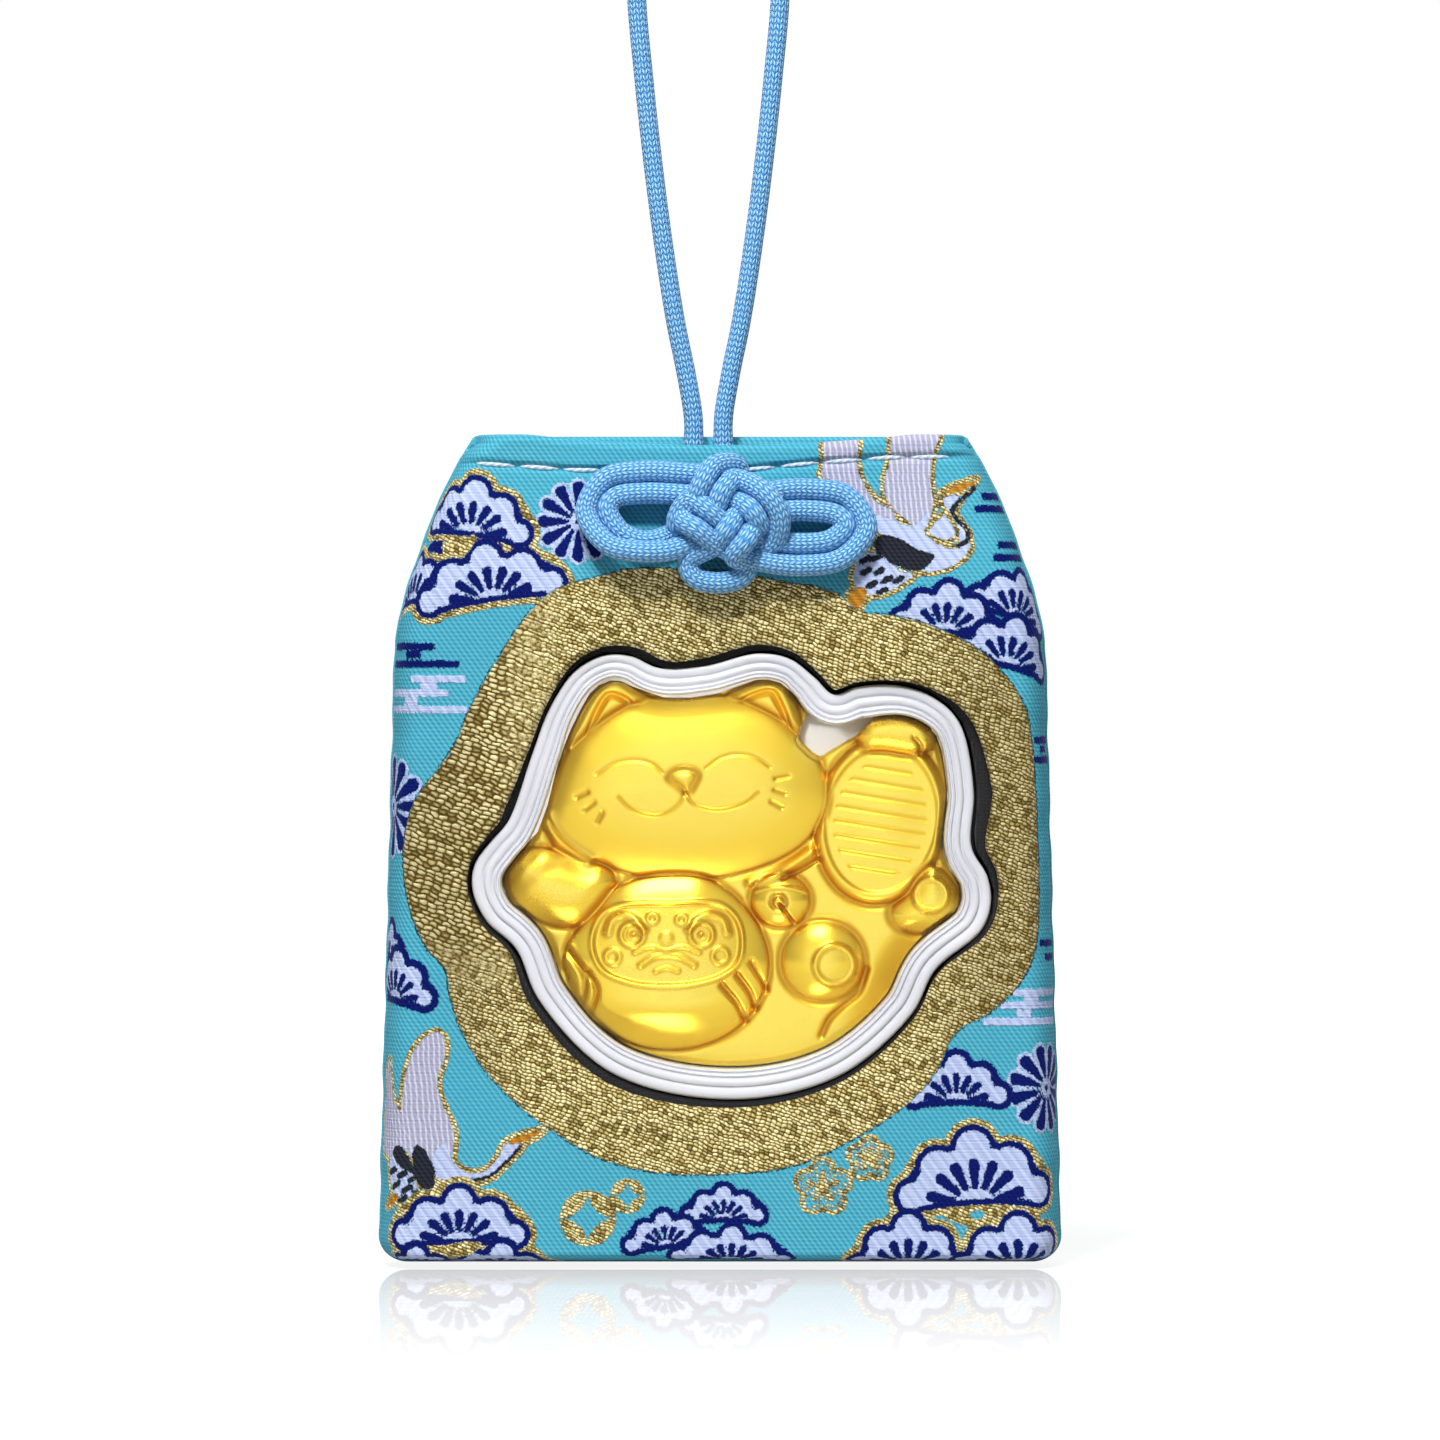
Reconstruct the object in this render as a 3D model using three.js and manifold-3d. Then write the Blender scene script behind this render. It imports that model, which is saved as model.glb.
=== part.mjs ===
// Amulet pouch: a brocade bag with a contour window, a clear capsule holding a pressed gold cat,
// and a braided cord tied in a double-loop knot. It hangs from the cord's loop.
// Millimetres, +Z up, front towards -Y. The origin is where a hook bears in the hanging loop.

import * as THREE from "three";
import Module from "manifold-3d";

const wasm = await Module();
wasm.setup();

// Clearances
const GAP = 0.3; // between neighbouring pieces
const SEAM_GAP = 0.3; // between the front and back panels at the side seam

// Capsule
const CAPSULE_WIDTH = 44.4;
const CAPSULE_HEIGHT = 38.2;
const CAPSULE_DEPTH = 5.6;
const COVER_WALL = 1.0; // skirt of the cover
const COVER_FRONT = 0.8; // clear face of the cover
const RIM_STEP = 0.9; // width of each step of the rim
const RIM_RISE = 0.7; // height of each step of the rim
const BASE_FLOOR = 0.8;
const BASE_WALL = 0.9;
const CARD_THICKNESS = 0.4; // white backing card

// Gold figure
const FIGURE_RISE = 2.5; // highest dome above the figure's back
const FOIL = 0.5; // depth of the pressed skin
const DOME_SINK = 0.6; // share of a dome's ellipsoid radius that lies behind the figure's back

// Cloth
const CLOTH = 0.8; // brocade with its interfacing
const LINING = 0.4;
const WINDOW_REVEAL = 0.8; // cloth edge to capsule
const LINING_REVEAL = 0.35; // lining edge to capsule
const WINDOW_SHIFT = 0.4; // window to the right of the capsule

// Pouch
const SIDE_ROOM = 1.7; // board to lining, beside the board
const BOTTOM_ROOM = 2.9; // board to lining, under the board
const SHOULDER_INSET = 1.4; // the sides lean in by this much up to the shoulder
const NECK_INSET = 6.7; // and by this much more up to the mouth
const NECK_BULGE = 0.8; // outward bow of the neck's sides
const SHOULDER_RISE = 1.2; // shoulder above the capsule
const NECK_HEIGHT = 17.6; // shoulder to mouth
const BOTTOM_CORNER = 2.4;
const MOUTH_CORNER = 2.4;
const EDGE_ROLL = 2.6; // radius of the rolled sides and bottom
const MOUTH_DEPTH = 5.8; // front to back over the cloth, at the mouth
const HEM = 2.4; // turned edge at the mouth
const HEM_DIP = 0.9; // sag of the front hem
const CAPSULE_SHIFT = 1.0; // capsule to the right of the pouch's middle

// Board and stiffener
const BOARD_BORDER = 1.2; // board beside the capsule's pocket
const BOARD_FLOOR = 0.8;
const BOARD_TOP = 2.2; // board above the pocket
const BOARD_BOTTOM = 9.3; // board below the pocket
const BOARD_CORNER = 6;
const STIFFENER = 0.8;

// Cord
const CORD = 1.85; // slack, as in the knot
const TAUT_CORD = 1.65; // stretched, as in the hanging loop
const LOOP_HEIGHT = 47; // swing axis to the top of the loop's centreline
const SWING_RISE = 1.5; // swing axis above the mouth
const LOOP_SHIFT = -1.0; // loop to the left of the pouch's middle
const STRAND_SPREAD = 1.3; // strand to the loop's middle, at the mouth
const KNOT_SHIFT = 0.4; // knot to the right of the pouch's middle
const KNOT_DROP = 7.0; // knot's middle below the mouth
const PRESS = 0.01; // between the two strands of a doubled stretch
const SLIT_CLEARANCE = 0.3; // round the strands where they come through the cloth

// Derived depths, with the pouch's middle plane at y = 0 and the front negative
const STACK = CAPSULE_DEPTH + BOARD_FLOOR + STIFFENER + LINING + CLOTH + 4 * GAP;
const POUCH_HALF_DEPTH = STACK / 2;
const COVER_FACE = -POUCH_HALF_DEPTH;
const CAPSULE_BACK = COVER_FACE + CAPSULE_DEPTH;
const LINING_OUT = CLOTH + GAP;
const LINING_IN = LINING_OUT + LINING;
const CONTENT_DEPTH = POUCH_HALF_DEPTH - LINING_IN - GAP;
const STIFFENER_FRONT = CONTENT_DEPTH - STIFFENER;
const POCKET_FLOOR = CAPSULE_BACK + GAP;
const BOARD_BACK = POCKET_FLOOR + BOARD_FLOOR;
const BOARD_FACE = -CONTENT_DEPTH;
const CEILING = COVER_FACE + COVER_FRONT;
const TERRACE = COVER_FACE + 2 * RIM_RISE;
const CARD_BACK = CAPSULE_BACK - BASE_FLOOR - GAP;
const FIGURE_BACK = CARD_BACK - CARD_THICKNESS - GAP;

// Derived heights, from the pouch's bottom
const BOARD_LOW = LINING_IN + BOTTOM_ROOM;
const BOTTOM_MARGIN = BOARD_LOW + BOARD_BOTTOM + GAP;
const CAPSULE_MIDDLE = BOTTOM_MARGIN + CAPSULE_HEIGHT / 2;
const SHOULDER = BOTTOM_MARGIN + CAPSULE_HEIGHT + SHOULDER_RISE;
const MOUTH = SHOULDER + NECK_HEIGHT;
const TAPER_START = SHOULDER + BOARD_TOP;
const HEM_LINE = MOUTH - HEM;
const BOARD_HALF = CAPSULE_WIDTH / 2 + CAPSULE_SHIFT + GAP + BOARD_BORDER;
const SHOULDER_HALF = BOARD_HALF + SIDE_ROOM + LINING_IN;
const BOTTOM_HALF = SHOULDER_HALF + SHOULDER_INSET;
const MOUTH_HALF = SHOULDER_HALF - NECK_INSET;
const CORD_RADIUS = CORD / 2;
const TAUT_RADIUS = TAUT_CORD / 2;
const PAIR_PITCH = CORD + PRESS;

// Outline of the capsule, clockwise from the left ear, as shares of its width and height
const OUTLINE = [
  [-0.245, 0.496], [-0.194, 0.492], [-0.138, 0.461], [-0.053, 0.463],
  [0.05, 0.5], [0.112, 0.488], [0.16, 0.446], [0.197, 0.408],
  [0.242, 0.425], [0.323, 0.428], [0.39, 0.401], [0.44, 0.343],
  [0.467, 0.193], [0.463, 0.066], [0.494, -0.002], [0.5, -0.064],
  [0.481, -0.122], [0.394, -0.209], [0.346, -0.312], [0.205, -0.449],
  [-0.001, -0.5], [-0.231, -0.441], [-0.371, -0.279], [-0.416, -0.163],
  [-0.474, -0.099], [-0.5, -0.031], [-0.495, 0.03], [-0.459, 0.081],
  [-0.42, 0.124], [-0.381, 0.278], [-0.347, 0.376], [-0.302, 0.461],
];
const OUTLINE_STEPS = 72;

// Domes of the gold figure: place and half-size as shares of the capsule's width and height,
// tilt in degrees, and rise as a share of the figure's rise
const DOMES = [
  { at: [0.041, -0.142], half: [0.386, 0.335], tilt: 0, rise: 0.36 }, // body
  { at: [-0.083, 0.208], half: [0.265, 0.204], tilt: 0, rise: 0.86 }, // head
  { at: [-0.242, 0.36], half: [0.07, 0.076], tilt: 0, rise: 0.5 }, // left ear
  { at: [0.068, 0.366], half: [0.074, 0.074], tilt: 0, rise: 0.5 }, // right ear
  { at: [0.289, 0.128], half: [0.124, 0.188], tilt: -9, rise: 0.6 }, // coin
  { at: [0.32, 0.324], half: [0.079, 0.052], tilt: -8, rise: 0.78 }, // paw on the coin
  { at: [0.375, -0.051], half: [0.068, 0.07], tilt: 20, rise: 0.6 }, // elbow
  { at: [-0.335, -0.02], half: [0.105, 0.096], tilt: 12, rise: 0.7 }, // left arm
  { at: [-0.125, -0.187], half: [0.198, 0.194], tilt: 0, rise: 1 }, // round doll
  { at: [0.094, -0.055], half: [0.057, 0.066], tilt: 0, rise: 0.8 }, // bell
  { at: [0.177, -0.192], half: [0.08, 0.092], tilt: 0, rise: 0.78 }, // foot
];
// Dishes pressed into the domes, in the same shares: the depth of their middle and their reach
const DISHES = [
  { at: [-0.236, 0.352], half: [0.04, 0.045], tilt: 0, front: 0.5, depth: 0.22 }, // left ear
  { at: [0.066, 0.358], half: [0.04, 0.045], tilt: 0, front: 0.5, depth: 0.22 }, // right ear
  { at: [0.289, 0.12], half: [0.095, 0.145], tilt: -9, front: 0.6, depth: 0.18 }, // coin's field
  { at: [-0.127, -0.147], half: [0.146, 0.09], tilt: 0, front: 0.97, depth: 0.18 }, // doll's face
];
// Bare card between the right ear and the coin
const BARE = { at: [0.189, 0.328], half: [0.062, 0.067], tilt: 0 };

// Half of the hanging loop, from the swing axis up: distance from its middle, share of its height
const LOOP_HALF = [
  [1.9, 0.08], [2.85, 0.18], [4.2, 0.37], [5.55, 0.62], [6.2, 0.8], [5.7, 0.91], [3.6, 0.975],
];

// Cord thickness that the knot's points are drawn for
const KNOT_CORD = 1.85;
const KNOT_SCALE = CORD / KNOT_CORD;
// One pass of the knot's doubled strand, from the knot's middle: across, up, away from the cloth and,
// where the two strands lie one behind the other, the lean of the pair in degrees
const KNOT_PASS = [
  [0.4, 2.3, -2.2], [0.4, 2.5, -0.4], [0.4, 2.8, 1.1], [0.3, 3.6, 2], [-0.2, 3.5, 3.6], [-1, 2.4, 4.3],
  [-1.8, 0.6, 3.6], [-2.8, -1.2, 2.4], [-4.4, -2.3, 2.1, 45], [-7, -2.7, 2.2, 60], [-9.5, -1.9, 2, 35],
  [-10.9, 0.4, 1.6], [-9.8, 2.3, 1.6], [-7, 2.8, 1.7], [-4, 2.7, 2], [-1.2, 2.4, 2.3], [1.2, 2, 3.3],
  [2.9, 1, 4.4], [3.8, -0.5, 3.8], [3.5, -1.7, 2.2], [2.1, -1.7, 1.5], [0, -0.9, 1.35],
  [-2.3, -0.4, 1.45], [-3.5, 0, 2.4], [-3.2, 0.3, 3.6], [-1.9, -0.45, 4.2], [-0.4, -1.6, 3.4],
  [1.4, -2.5, 2.3], [3.6, -3.1, 2], [6.6, -3.4, 1.8], [9.6, -2.9, 1.6], [11.2, -1, 1.6],
  [10, 0.8, 1.6], [7, 1.3, 1.7], [5, 1.2, 2], [3.5, 0.8, 2.2], [2.1, -0.2, 3], [1, -1.8, 4.3],
  [0.1, -3, 3.3],
];
// The single loop under the knot that joins the two passes
const KNOT_TURN = [
  [2, -4.2, 1.9], [1.4, -5.3, 1.7], [-0.6, -5.8, 1.7], [-2.6, -5.3, 1.7], [-3.1, -4, 1.9],
];
const CORD_SIDES = 8;
const LOOP_STEPS = 34;
const KNOT_STEPS = 120;
const KNOT_STRETCHES = 10;

function material(color, roughness, metalness = 0, opacity = 1) {
  return new THREE.MeshStandardMaterial({
    color, roughness, metalness, opacity, transparent: opacity < 1,
  });
}

const BROCADE = material(0x56bad0, 0.8);
const BLACK = material(0x16161a, 0.85);
const WHITE = material(0xf4f4f2, 0.4);
const CARD = material(0xf0f0ee, 0.9);
const CLEAR = material(0xf5f8fa, 0.05, 0, 0.3);
const GOLD = material(0xf0c23a, 0.25, 1);
const CORD_BLUE = material(0x7db9eb, 0.75);

/** Closed solid from a geometry; only places decide which corners are shared. */
function solid(geometry) {
  const flat = geometry.index ? geometry.toNonIndexed() : geometry;
  const mesh = new wasm.Mesh({
    numProp: 3,
    vertProperties: new Float32Array(flat.attributes.position.array),
    triVerts: Uint32Array.from({ length: flat.attributes.position.count }, (_, i) => i),
  });
  mesh.merge();
  return new wasm.Manifold(mesh);
}

/** Geometry of a solid, for a mesh. */
function geometryOf(body) {
  const mesh = body.getMesh();
  const geometry = new THREE.BufferGeometry();
  const places = new Float32Array(mesh.numVert * 3);
  for (let i = 0; i < mesh.numVert; i += 1) {
    places.set(mesh.vertProperties.subarray(i * mesh.numProp, i * mesh.numProp + 3), i * 3);
  }
  geometry.setAttribute("position", new THREE.BufferAttribute(places, 3));
  geometry.setIndex(new THREE.BufferAttribute(new Uint32Array(mesh.triVerts), 1));
  geometry.computeVertexNormals();
  return geometry;
}

function node(name, body, look) {
  const mesh = new THREE.Mesh(geometryOf(body), look);
  mesh.name = name;
  return mesh;
}

/** Prism of an outline in the XZ plane, from depth `back` forward to depth `front`. */
function prism(points, back, front) {
  const shape = new THREE.Shape(points.map(([x, z]) => new THREE.Vector2(x, z)));
  const geometry = new THREE.ExtrudeGeometry(shape, { depth: back - front, bevelEnabled: false });
  geometry.rotateX(Math.PI / 2);
  geometry.translate(0, back, 0);
  return solid(geometry);
}

/** The capsule's outline moved outwards by `grow`, placed in the pouch. */
function contour(grow, shift = 0) {
  const corners = OUTLINE.map(
    ([u, v]) => new THREE.Vector3(u * CAPSULE_WIDTH, 0, v * CAPSULE_HEIGHT),
  );
  const curve = new THREE.CatmullRomCurve3(corners, true, "centripetal");
  const ring = [];
  for (let i = 0; i < OUTLINE_STEPS; i += 1) {
    const at = i / OUTLINE_STEPS;
    const place = curve.getPointAt(at);
    const along = curve.getTangentAt(at);
    const x = place.x - along.z * grow;
    const z = place.z + along.x * grow;
    ring.push([x + CAPSULE_SHIFT + shift, z + CAPSULE_MIDDLE]);
  }
  return ring.reverse();
}

/** Rounded rectangle in the XZ plane. */
function roundedRectangle(left, right, bottom, top, radius) {
  const shape = new THREE.Shape();
  shape.moveTo(left + radius, bottom);
  shape.absarc(right - radius, bottom + radius, radius, -Math.PI / 2, 0, false);
  shape.absarc(right - radius, top - radius, radius, 0, Math.PI / 2, false);
  shape.absarc(left + radius, top - radius, radius, Math.PI / 2, Math.PI, false);
  shape.absarc(left + radius, bottom + radius, radius, Math.PI, Math.PI * 1.5, false);
  const points = shape.getPoints(5).map((p) => [p.x, p.y]);
  return points.filter((p, i) => {
    const q = points[(i + 1) % points.length];
    return Math.hypot(p[0] - q[0], p[1] - q[1]) > 0.01;
  });
}

/** Half the pouch's width at a height, with rounded corners at the bottom and the mouth. */
function halfWidth(z) {
  const side = Math.min(z / SHOULDER, 1);
  const neck = Math.max((z - SHOULDER) / NECK_HEIGHT, 0);
  const low = Math.max(BOTTOM_CORNER - z, 0);
  const high = Math.max(z - MOUTH + MOUTH_CORNER, 0);
  const lowCut = BOTTOM_CORNER - Math.sqrt(BOTTOM_CORNER ** 2 - low ** 2);
  const highCut = MOUTH_CORNER - Math.sqrt(Math.max(MOUTH_CORNER ** 2 - high ** 2, 0));
  const bow = NECK_BULGE * 4 * neck * (1 - Math.min(neck, 1));
  return BOTTOM_HALF - side * SHOULDER_INSET - neck * NECK_INSET + bow - lowCut - highCut;
}

/** Half the pouch's depth on its middle line, above the rolled bottom. */
function halfDepth(z) {
  const t = Math.min(Math.max((z - TAPER_START) / (MOUTH - TAPER_START), 0), 1);
  const ease = t * t * (3 - 2 * t);
  return POUCH_HALF_DEPTH + (MOUTH_DEPTH / 2 - POUCH_HALF_DEPTH) * ease;
}

/**
 * Half of the pouch's pillow shape, `inset` within the cloth's outer face. `side` is -1 for the front.
 * Its flat face lies at the depth `flat` on the other side of the middle plane where positive.
 */
function pillow(side, inset, flat, top) {
  const roll = [0, 18, 36, 54, 72, 90].map((deg) => THREE.MathUtils.degToRad(deg));
  const radius = EDGE_ROLL - inset * 0.6;
  const rows = roll.map((a) => [inset + radius * (1 - Math.cos(a)), Math.sin(a)]);
  const heights = [SHOULDER, TAPER_START];
  for (let i = 1; i <= 5; i += 1) {
    heights.push(TAPER_START + ((HEM_LINE - TAPER_START) * i) / 5);
  }
  heights.push(MOUTH - MOUTH_CORNER, MOUTH - MOUTH_CORNER * 0.4, MOUTH - MOUTH_CORNER * 0.1, MOUTH);
  for (const z of heights.filter((h) => h < top)) rows.push([z, 1]);
  rows.push([top, 1]);
  const places = [];
  const columns = roll.length * 2;
  for (const [z, share] of rows) {
    const half = halfWidth(Math.min(z, MOUTH)) - inset;
    const depth = (halfDepth(z) - inset) * share;
    for (let i = 0; i < columns; i += 1) {
      const step = i < roll.length ? i : columns - 1 - i;
      const x = half - radius * (1 - Math.cos(roll[step]));
      const y = SEAM_GAP / 2 + Math.max(depth - SEAM_GAP / 2, 0) * Math.sin(roll[step]);
      places.push([i < roll.length ? -x : x, side * y, z]);
    }
  }
  const count = places.length;
  const corners = [...places, ...places.map(([x, , z]) => [x, -side * flat, z])];
  const faces = [];
  const quad = (a, b, c, d) => faces.push([a, b, c], [a, c, d]);
  for (let j = 0; j + 1 < rows.length; j += 1) {
    for (let i = 0; i + 1 < columns; i += 1) {
      const a = j * columns + i;
      quad(a, a + 1, a + columns + 1, a + columns);
      quad(count + a + columns, count + a + columns + 1, count + a + 1, count + a);
    }
    const left = j * columns;
    const right = left + columns - 1;
    quad(count + left, left, left + columns, count + left + columns);
    quad(right, count + right, count + right + columns, right + columns);
  }
  const last = (rows.length - 1) * columns;
  for (let i = 0; i + 1 < columns; i += 1) {
    quad(count + i, count + i + 1, i + 1, i);
    quad(last + i, last + i + 1, count + last + i + 1, count + last + i);
  }
  const geometry = new THREE.BufferGeometry();
  const ordered = side < 0 ? faces : faces.map(([a, b, c]) => [a, c, b]);
  const flatPlaces = ordered.flat().flatMap((i) => corners[i]);
  geometry.setAttribute("position", new THREE.Float32BufferAttribute(flatPlaces, 3));
  return solid(geometry);
}

/** Block that spans the pouch's width and depth between two heights. */
function slice(bottom, top) {
  const reach = BOTTOM_HALF * 4;
  const geometry = new THREE.BoxGeometry(reach, reach, top - bottom);
  geometry.translate(0, 0, (bottom + top) / 2);
  return solid(geometry);
}

/** Cloth panel with a turned hem: the pillow's skin, twice as thick along the mouth. */
function panel(side) {
  const over = MOUTH + CLOTH;
  const body = pillow(side, CLOTH, CLOTH, over).intersect(slice(-CLOTH, HEM_LINE));
  const mouth = pillow(side, CLOTH * 2, CLOTH, over);
  return pillow(side, 0, -SEAM_GAP / 2, MOUTH).subtract(body).subtract(mouth);
}

function lining(side) {
  const top = HEM_LINE - GAP;
  const inner = pillow(side, LINING_IN, CLOTH, top + CLOTH);
  return pillow(side, LINING_OUT, -SEAM_GAP / 2, top).subtract(inner);
}

/** Tube of the cord's section along a curve, between two shares of its length. */
function cordTube(curve, radius, steps, from = 0, to = 1) {
  const places = [];
  for (let i = 0; i <= steps; i += 1) {
    places.push(curve.getPointAt(from + ((to - from) * i) / steps));
  }
  const path = new THREE.CatmullRomCurve3(places, false, "centripetal");
  const section = new THREE.Shape().absarc(0, 0, radius, 0, Math.PI * 2, false);
  const ring = new THREE.Shape(section.getPoints(CORD_SIDES / 2).slice(0, CORD_SIDES));
  return solid(new THREE.ExtrudeGeometry(ring, { steps, extrudePath: path, bevelEnabled: false }));
}

function ball(radius, x, y, z) {
  const geometry = new THREE.SphereGeometry(radius, CORD_SIDES, CORD_SIDES - 2);
  geometry.translate(x, y, z);
  return solid(geometry);
}

/** One strand of the doubled knot: the pass moved sideways by `offset` in the plane of the cloth. */
function knotStrand(offset) {
  return KNOT_PASS.map(([x, z, lift, lean = 0], i) => {
    const before = KNOT_PASS[Math.max(i - 1, 0)];
    const after = KNOT_PASS[Math.min(i + 1, KNOT_PASS.length - 1)];
    const run = Math.hypot(after[0] - before[0], after[1] - before[1]);
    const flat = (offset * Math.cos(THREE.MathUtils.degToRad(lean))) / run;
    const deep = offset * Math.sin(THREE.MathUtils.degToRad(lean));
    return [x - (after[1] - before[1]) * flat, z + (after[0] - before[0]) * flat, lift + deep];
  });
}

/** Place of a knot point in the plane of the cloth. */
function knotPlan([x, z]) {
  return [KNOT_SHIFT + x * KNOT_SCALE, MOUTH - KNOT_DROP + z * KNOT_SCALE];
}

function knotPlace(point) {
  const [x, z] = knotPlan(point);
  return new THREE.Vector3(x, -halfDepth(z) - point[2] * KNOT_SCALE, z);
}

/** Centreline of the tied cord, from the left end in the mouth round the knot to the right end. */
function knotCurve() {
  const half = PAIR_PITCH / KNOT_SCALE / 2;
  const out = knotStrand(half);
  const back = knotStrand(-half).reverse();
  const route = [...out, ...KNOT_TURN, ...back].map(knotPlace);
  const top = MOUTH + SWING_RISE - CORD_RADIUS - GAP;
  const left = LOOP_SHIFT - STRAND_SPREAD;
  const right = LOOP_SHIFT + STRAND_SPREAD;
  const low = MOUTH - HEM - CORD_RADIUS;
  return new THREE.CatmullRomCurve3(
    [
      new THREE.Vector3(left, 0, top),
      new THREE.Vector3(left, 0, MOUTH - CORD_RADIUS),
      new THREE.Vector3(left + CORD_RADIUS, -CORD_RADIUS / 2, low),
      ...route,
      new THREE.Vector3(right + CORD_RADIUS / 2, -CORD_RADIUS / 2, low),
      new THREE.Vector3(right, 0, MOUTH - CORD_RADIUS),
      new THREE.Vector3(right, 0, top),
    ],
    false,
    "centripetal",
  );
}

function loopCurve() {
  const side = LOOP_HALF.map(([x, share]) => new THREE.Vector3(x, 0, share * LOOP_HEIGHT));
  const foot = new THREE.Vector3(STRAND_SPREAD, 0, 0);
  const rise = [foot, ...side];
  const mirror = (p) => new THREE.Vector3(-p.x, 0, p.z);
  const top = new THREE.Vector3(0, 0, LOOP_HEIGHT);
  const route = [...rise.map(mirror), top, ...rise.reverse()];
  return new THREE.CatmullRomCurve3(route, false, "centripetal");
}

function hangingLoop() {
  const ends = [-STRAND_SPREAD, STRAND_SPREAD].map((x) => ball(TAUT_RADIUS, x, 0, 0));
  return ends.reduce((body, end) => body.add(end), cordTube(loopCurve(), TAUT_RADIUS, LOOP_STEPS));
}

/** The tied cord, whose strands press on each other in the knot. */
function knotCord() {
  const curve = knotCurve();
  const steps = KNOT_STEPS / KNOT_STRETCHES;
  const lap = 1 / KNOT_STEPS;
  let body = null;
  for (let i = 0; i < KNOT_STRETCHES; i += 1) {
    const from = i / KNOT_STRETCHES;
    const to = Math.min((i + 1) / KNOT_STRETCHES + lap, 1);
    const count = Math.round(steps * (to - from) * KNOT_STRETCHES);
    const stretch = cordTube(curve, CORD_RADIUS, count, from, to);
    body = body ? body.add(stretch) : stretch;
  }
  return body;
}

/** Slit in the front cloth where the two strands come through. */
function cordSlit() {
  const [x, z] = knotPlan(KNOT_PASS[1]);
  const tall = CORD_RADIUS + SLIT_CLEARANCE;
  const wide = tall + PAIR_PITCH / 2;
  const outline = roundedRectangle(x - wide, x + wide, z - tall, z + tall, tall * 0.95);
  return prism(outline, 0, -POUCH_HALF_DEPTH * 2);
}

/** Shallow arc taken off the front hem, which sags between the sides. */
function hemSag() {
  const curve = new THREE.QuadraticBezierCurve(
    new THREE.Vector2(-MOUTH_HALF * 0.8, MOUTH),
    new THREE.Vector2(0, MOUTH - HEM_DIP * 2),
    new THREE.Vector2(MOUTH_HALF * 0.8, MOUTH),
  );
  const arc = curve.getPoints(12).map((p) => [p.x, p.y]);
  const first = arc[0][0];
  const points = [[first, MOUTH + CLOTH], ...arc, [-first, MOUTH + CLOTH]];
  return prism(points, 0, -POUCH_HALF_DEPTH);
}

function frontPanel() {
  const window = prism(contour(WINDOW_REVEAL, WINDOW_SHIFT), 0, -POUCH_HALF_DEPTH * 2);
  return panel(-1).subtract(window).subtract(cordSlit()).subtract(hemSag());
}

function frontLining() {
  const window = prism(contour(LINING_REVEAL), 0, -POUCH_HALF_DEPTH * 2);
  return lining(-1).subtract(window).subtract(cordSlit());
}

function boardOutline(shrink) {
  const half = BOARD_HALF - shrink;
  const top = BOTTOM_MARGIN + CAPSULE_HEIGHT + GAP + BOARD_TOP - shrink;
  return roundedRectangle(-half, half, BOARD_LOW + shrink, top, BOARD_CORNER);
}

function mountBoard() {
  const pocket = prism(contour(GAP), POCKET_FLOOR, BOARD_FACE * 2);
  return prism(boardOutline(0), BOARD_BACK, BOARD_FACE).subtract(pocket);
}

function capsuleCover() {
  const skirt = prism(contour(0), CAPSULE_BACK, TERRACE);
  const step = prism(contour(-RIM_STEP), CAPSULE_BACK, TERRACE - RIM_RISE);
  const face = prism(contour(-RIM_STEP * 2), CAPSULE_BACK, COVER_FACE);
  const plug = prism(contour(-COVER_WALL), CAPSULE_BACK + GAP, TERRACE + COVER_WALL);
  const room = prism(contour(-RIM_STEP * 2 - COVER_FRONT), CAPSULE_BACK + GAP, CEILING);
  return skirt.add(step).add(face).subtract(plug).subtract(room);
}

function capsuleBase() {
  const edge = -COVER_WALL - GAP;
  const tray = prism(contour(edge), CAPSULE_BACK, TERRACE + COVER_WALL + GAP);
  const room = prism(contour(edge - BASE_WALL), CAPSULE_BACK - BASE_FLOOR, TERRACE);
  return tray.subtract(room);
}

function backingCard() {
  const edge = -COVER_WALL - BASE_WALL - GAP * 2;
  return prism(contour(edge), CARD_BACK, CARD_BACK - CARD_THICKNESS);
}

/** Ellipsoid at a place in the figure, with its middle at the depth `middle`. */
function figureEllipsoid({ at, half, tilt }, spread, depth, middle) {
  const small = half[0] < 0.1;
  const geometry = new THREE.SphereGeometry(1, small ? 12 : 20, small ? 6 : 10);
  geometry.rotateX(Math.PI / 2);
  const wide = (half[0] * CAPSULE_WIDTH) / spread;
  const tall = (half[1] * CAPSULE_HEIGHT) / spread;
  geometry.scale(wide, depth, tall);
  geometry.rotateY(-THREE.MathUtils.degToRad(tilt));
  const x = at[0] * CAPSULE_WIDTH + CAPSULE_SHIFT;
  const z = at[1] * CAPSULE_HEIGHT + CAPSULE_MIDDLE;
  geometry.translate(x, middle, z);
  return solid(geometry);
}

/** Ellipsoid whose cap in front of the figure's back plane is the dome. */
function dome(shape) {
  const spread = Math.sqrt(1 - DOME_SINK ** 2);
  const depth = (shape.rise * FIGURE_RISE) / (1 - DOME_SINK);
  return figureEllipsoid(shape, spread, depth, FIGURE_BACK + depth * DOME_SINK);
}

function dish(shape) {
  const depth = shape.depth * FIGURE_RISE;
  return figureEllipsoid(shape, 1, depth, FIGURE_BACK - shape.front * FIGURE_RISE);
}

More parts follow.
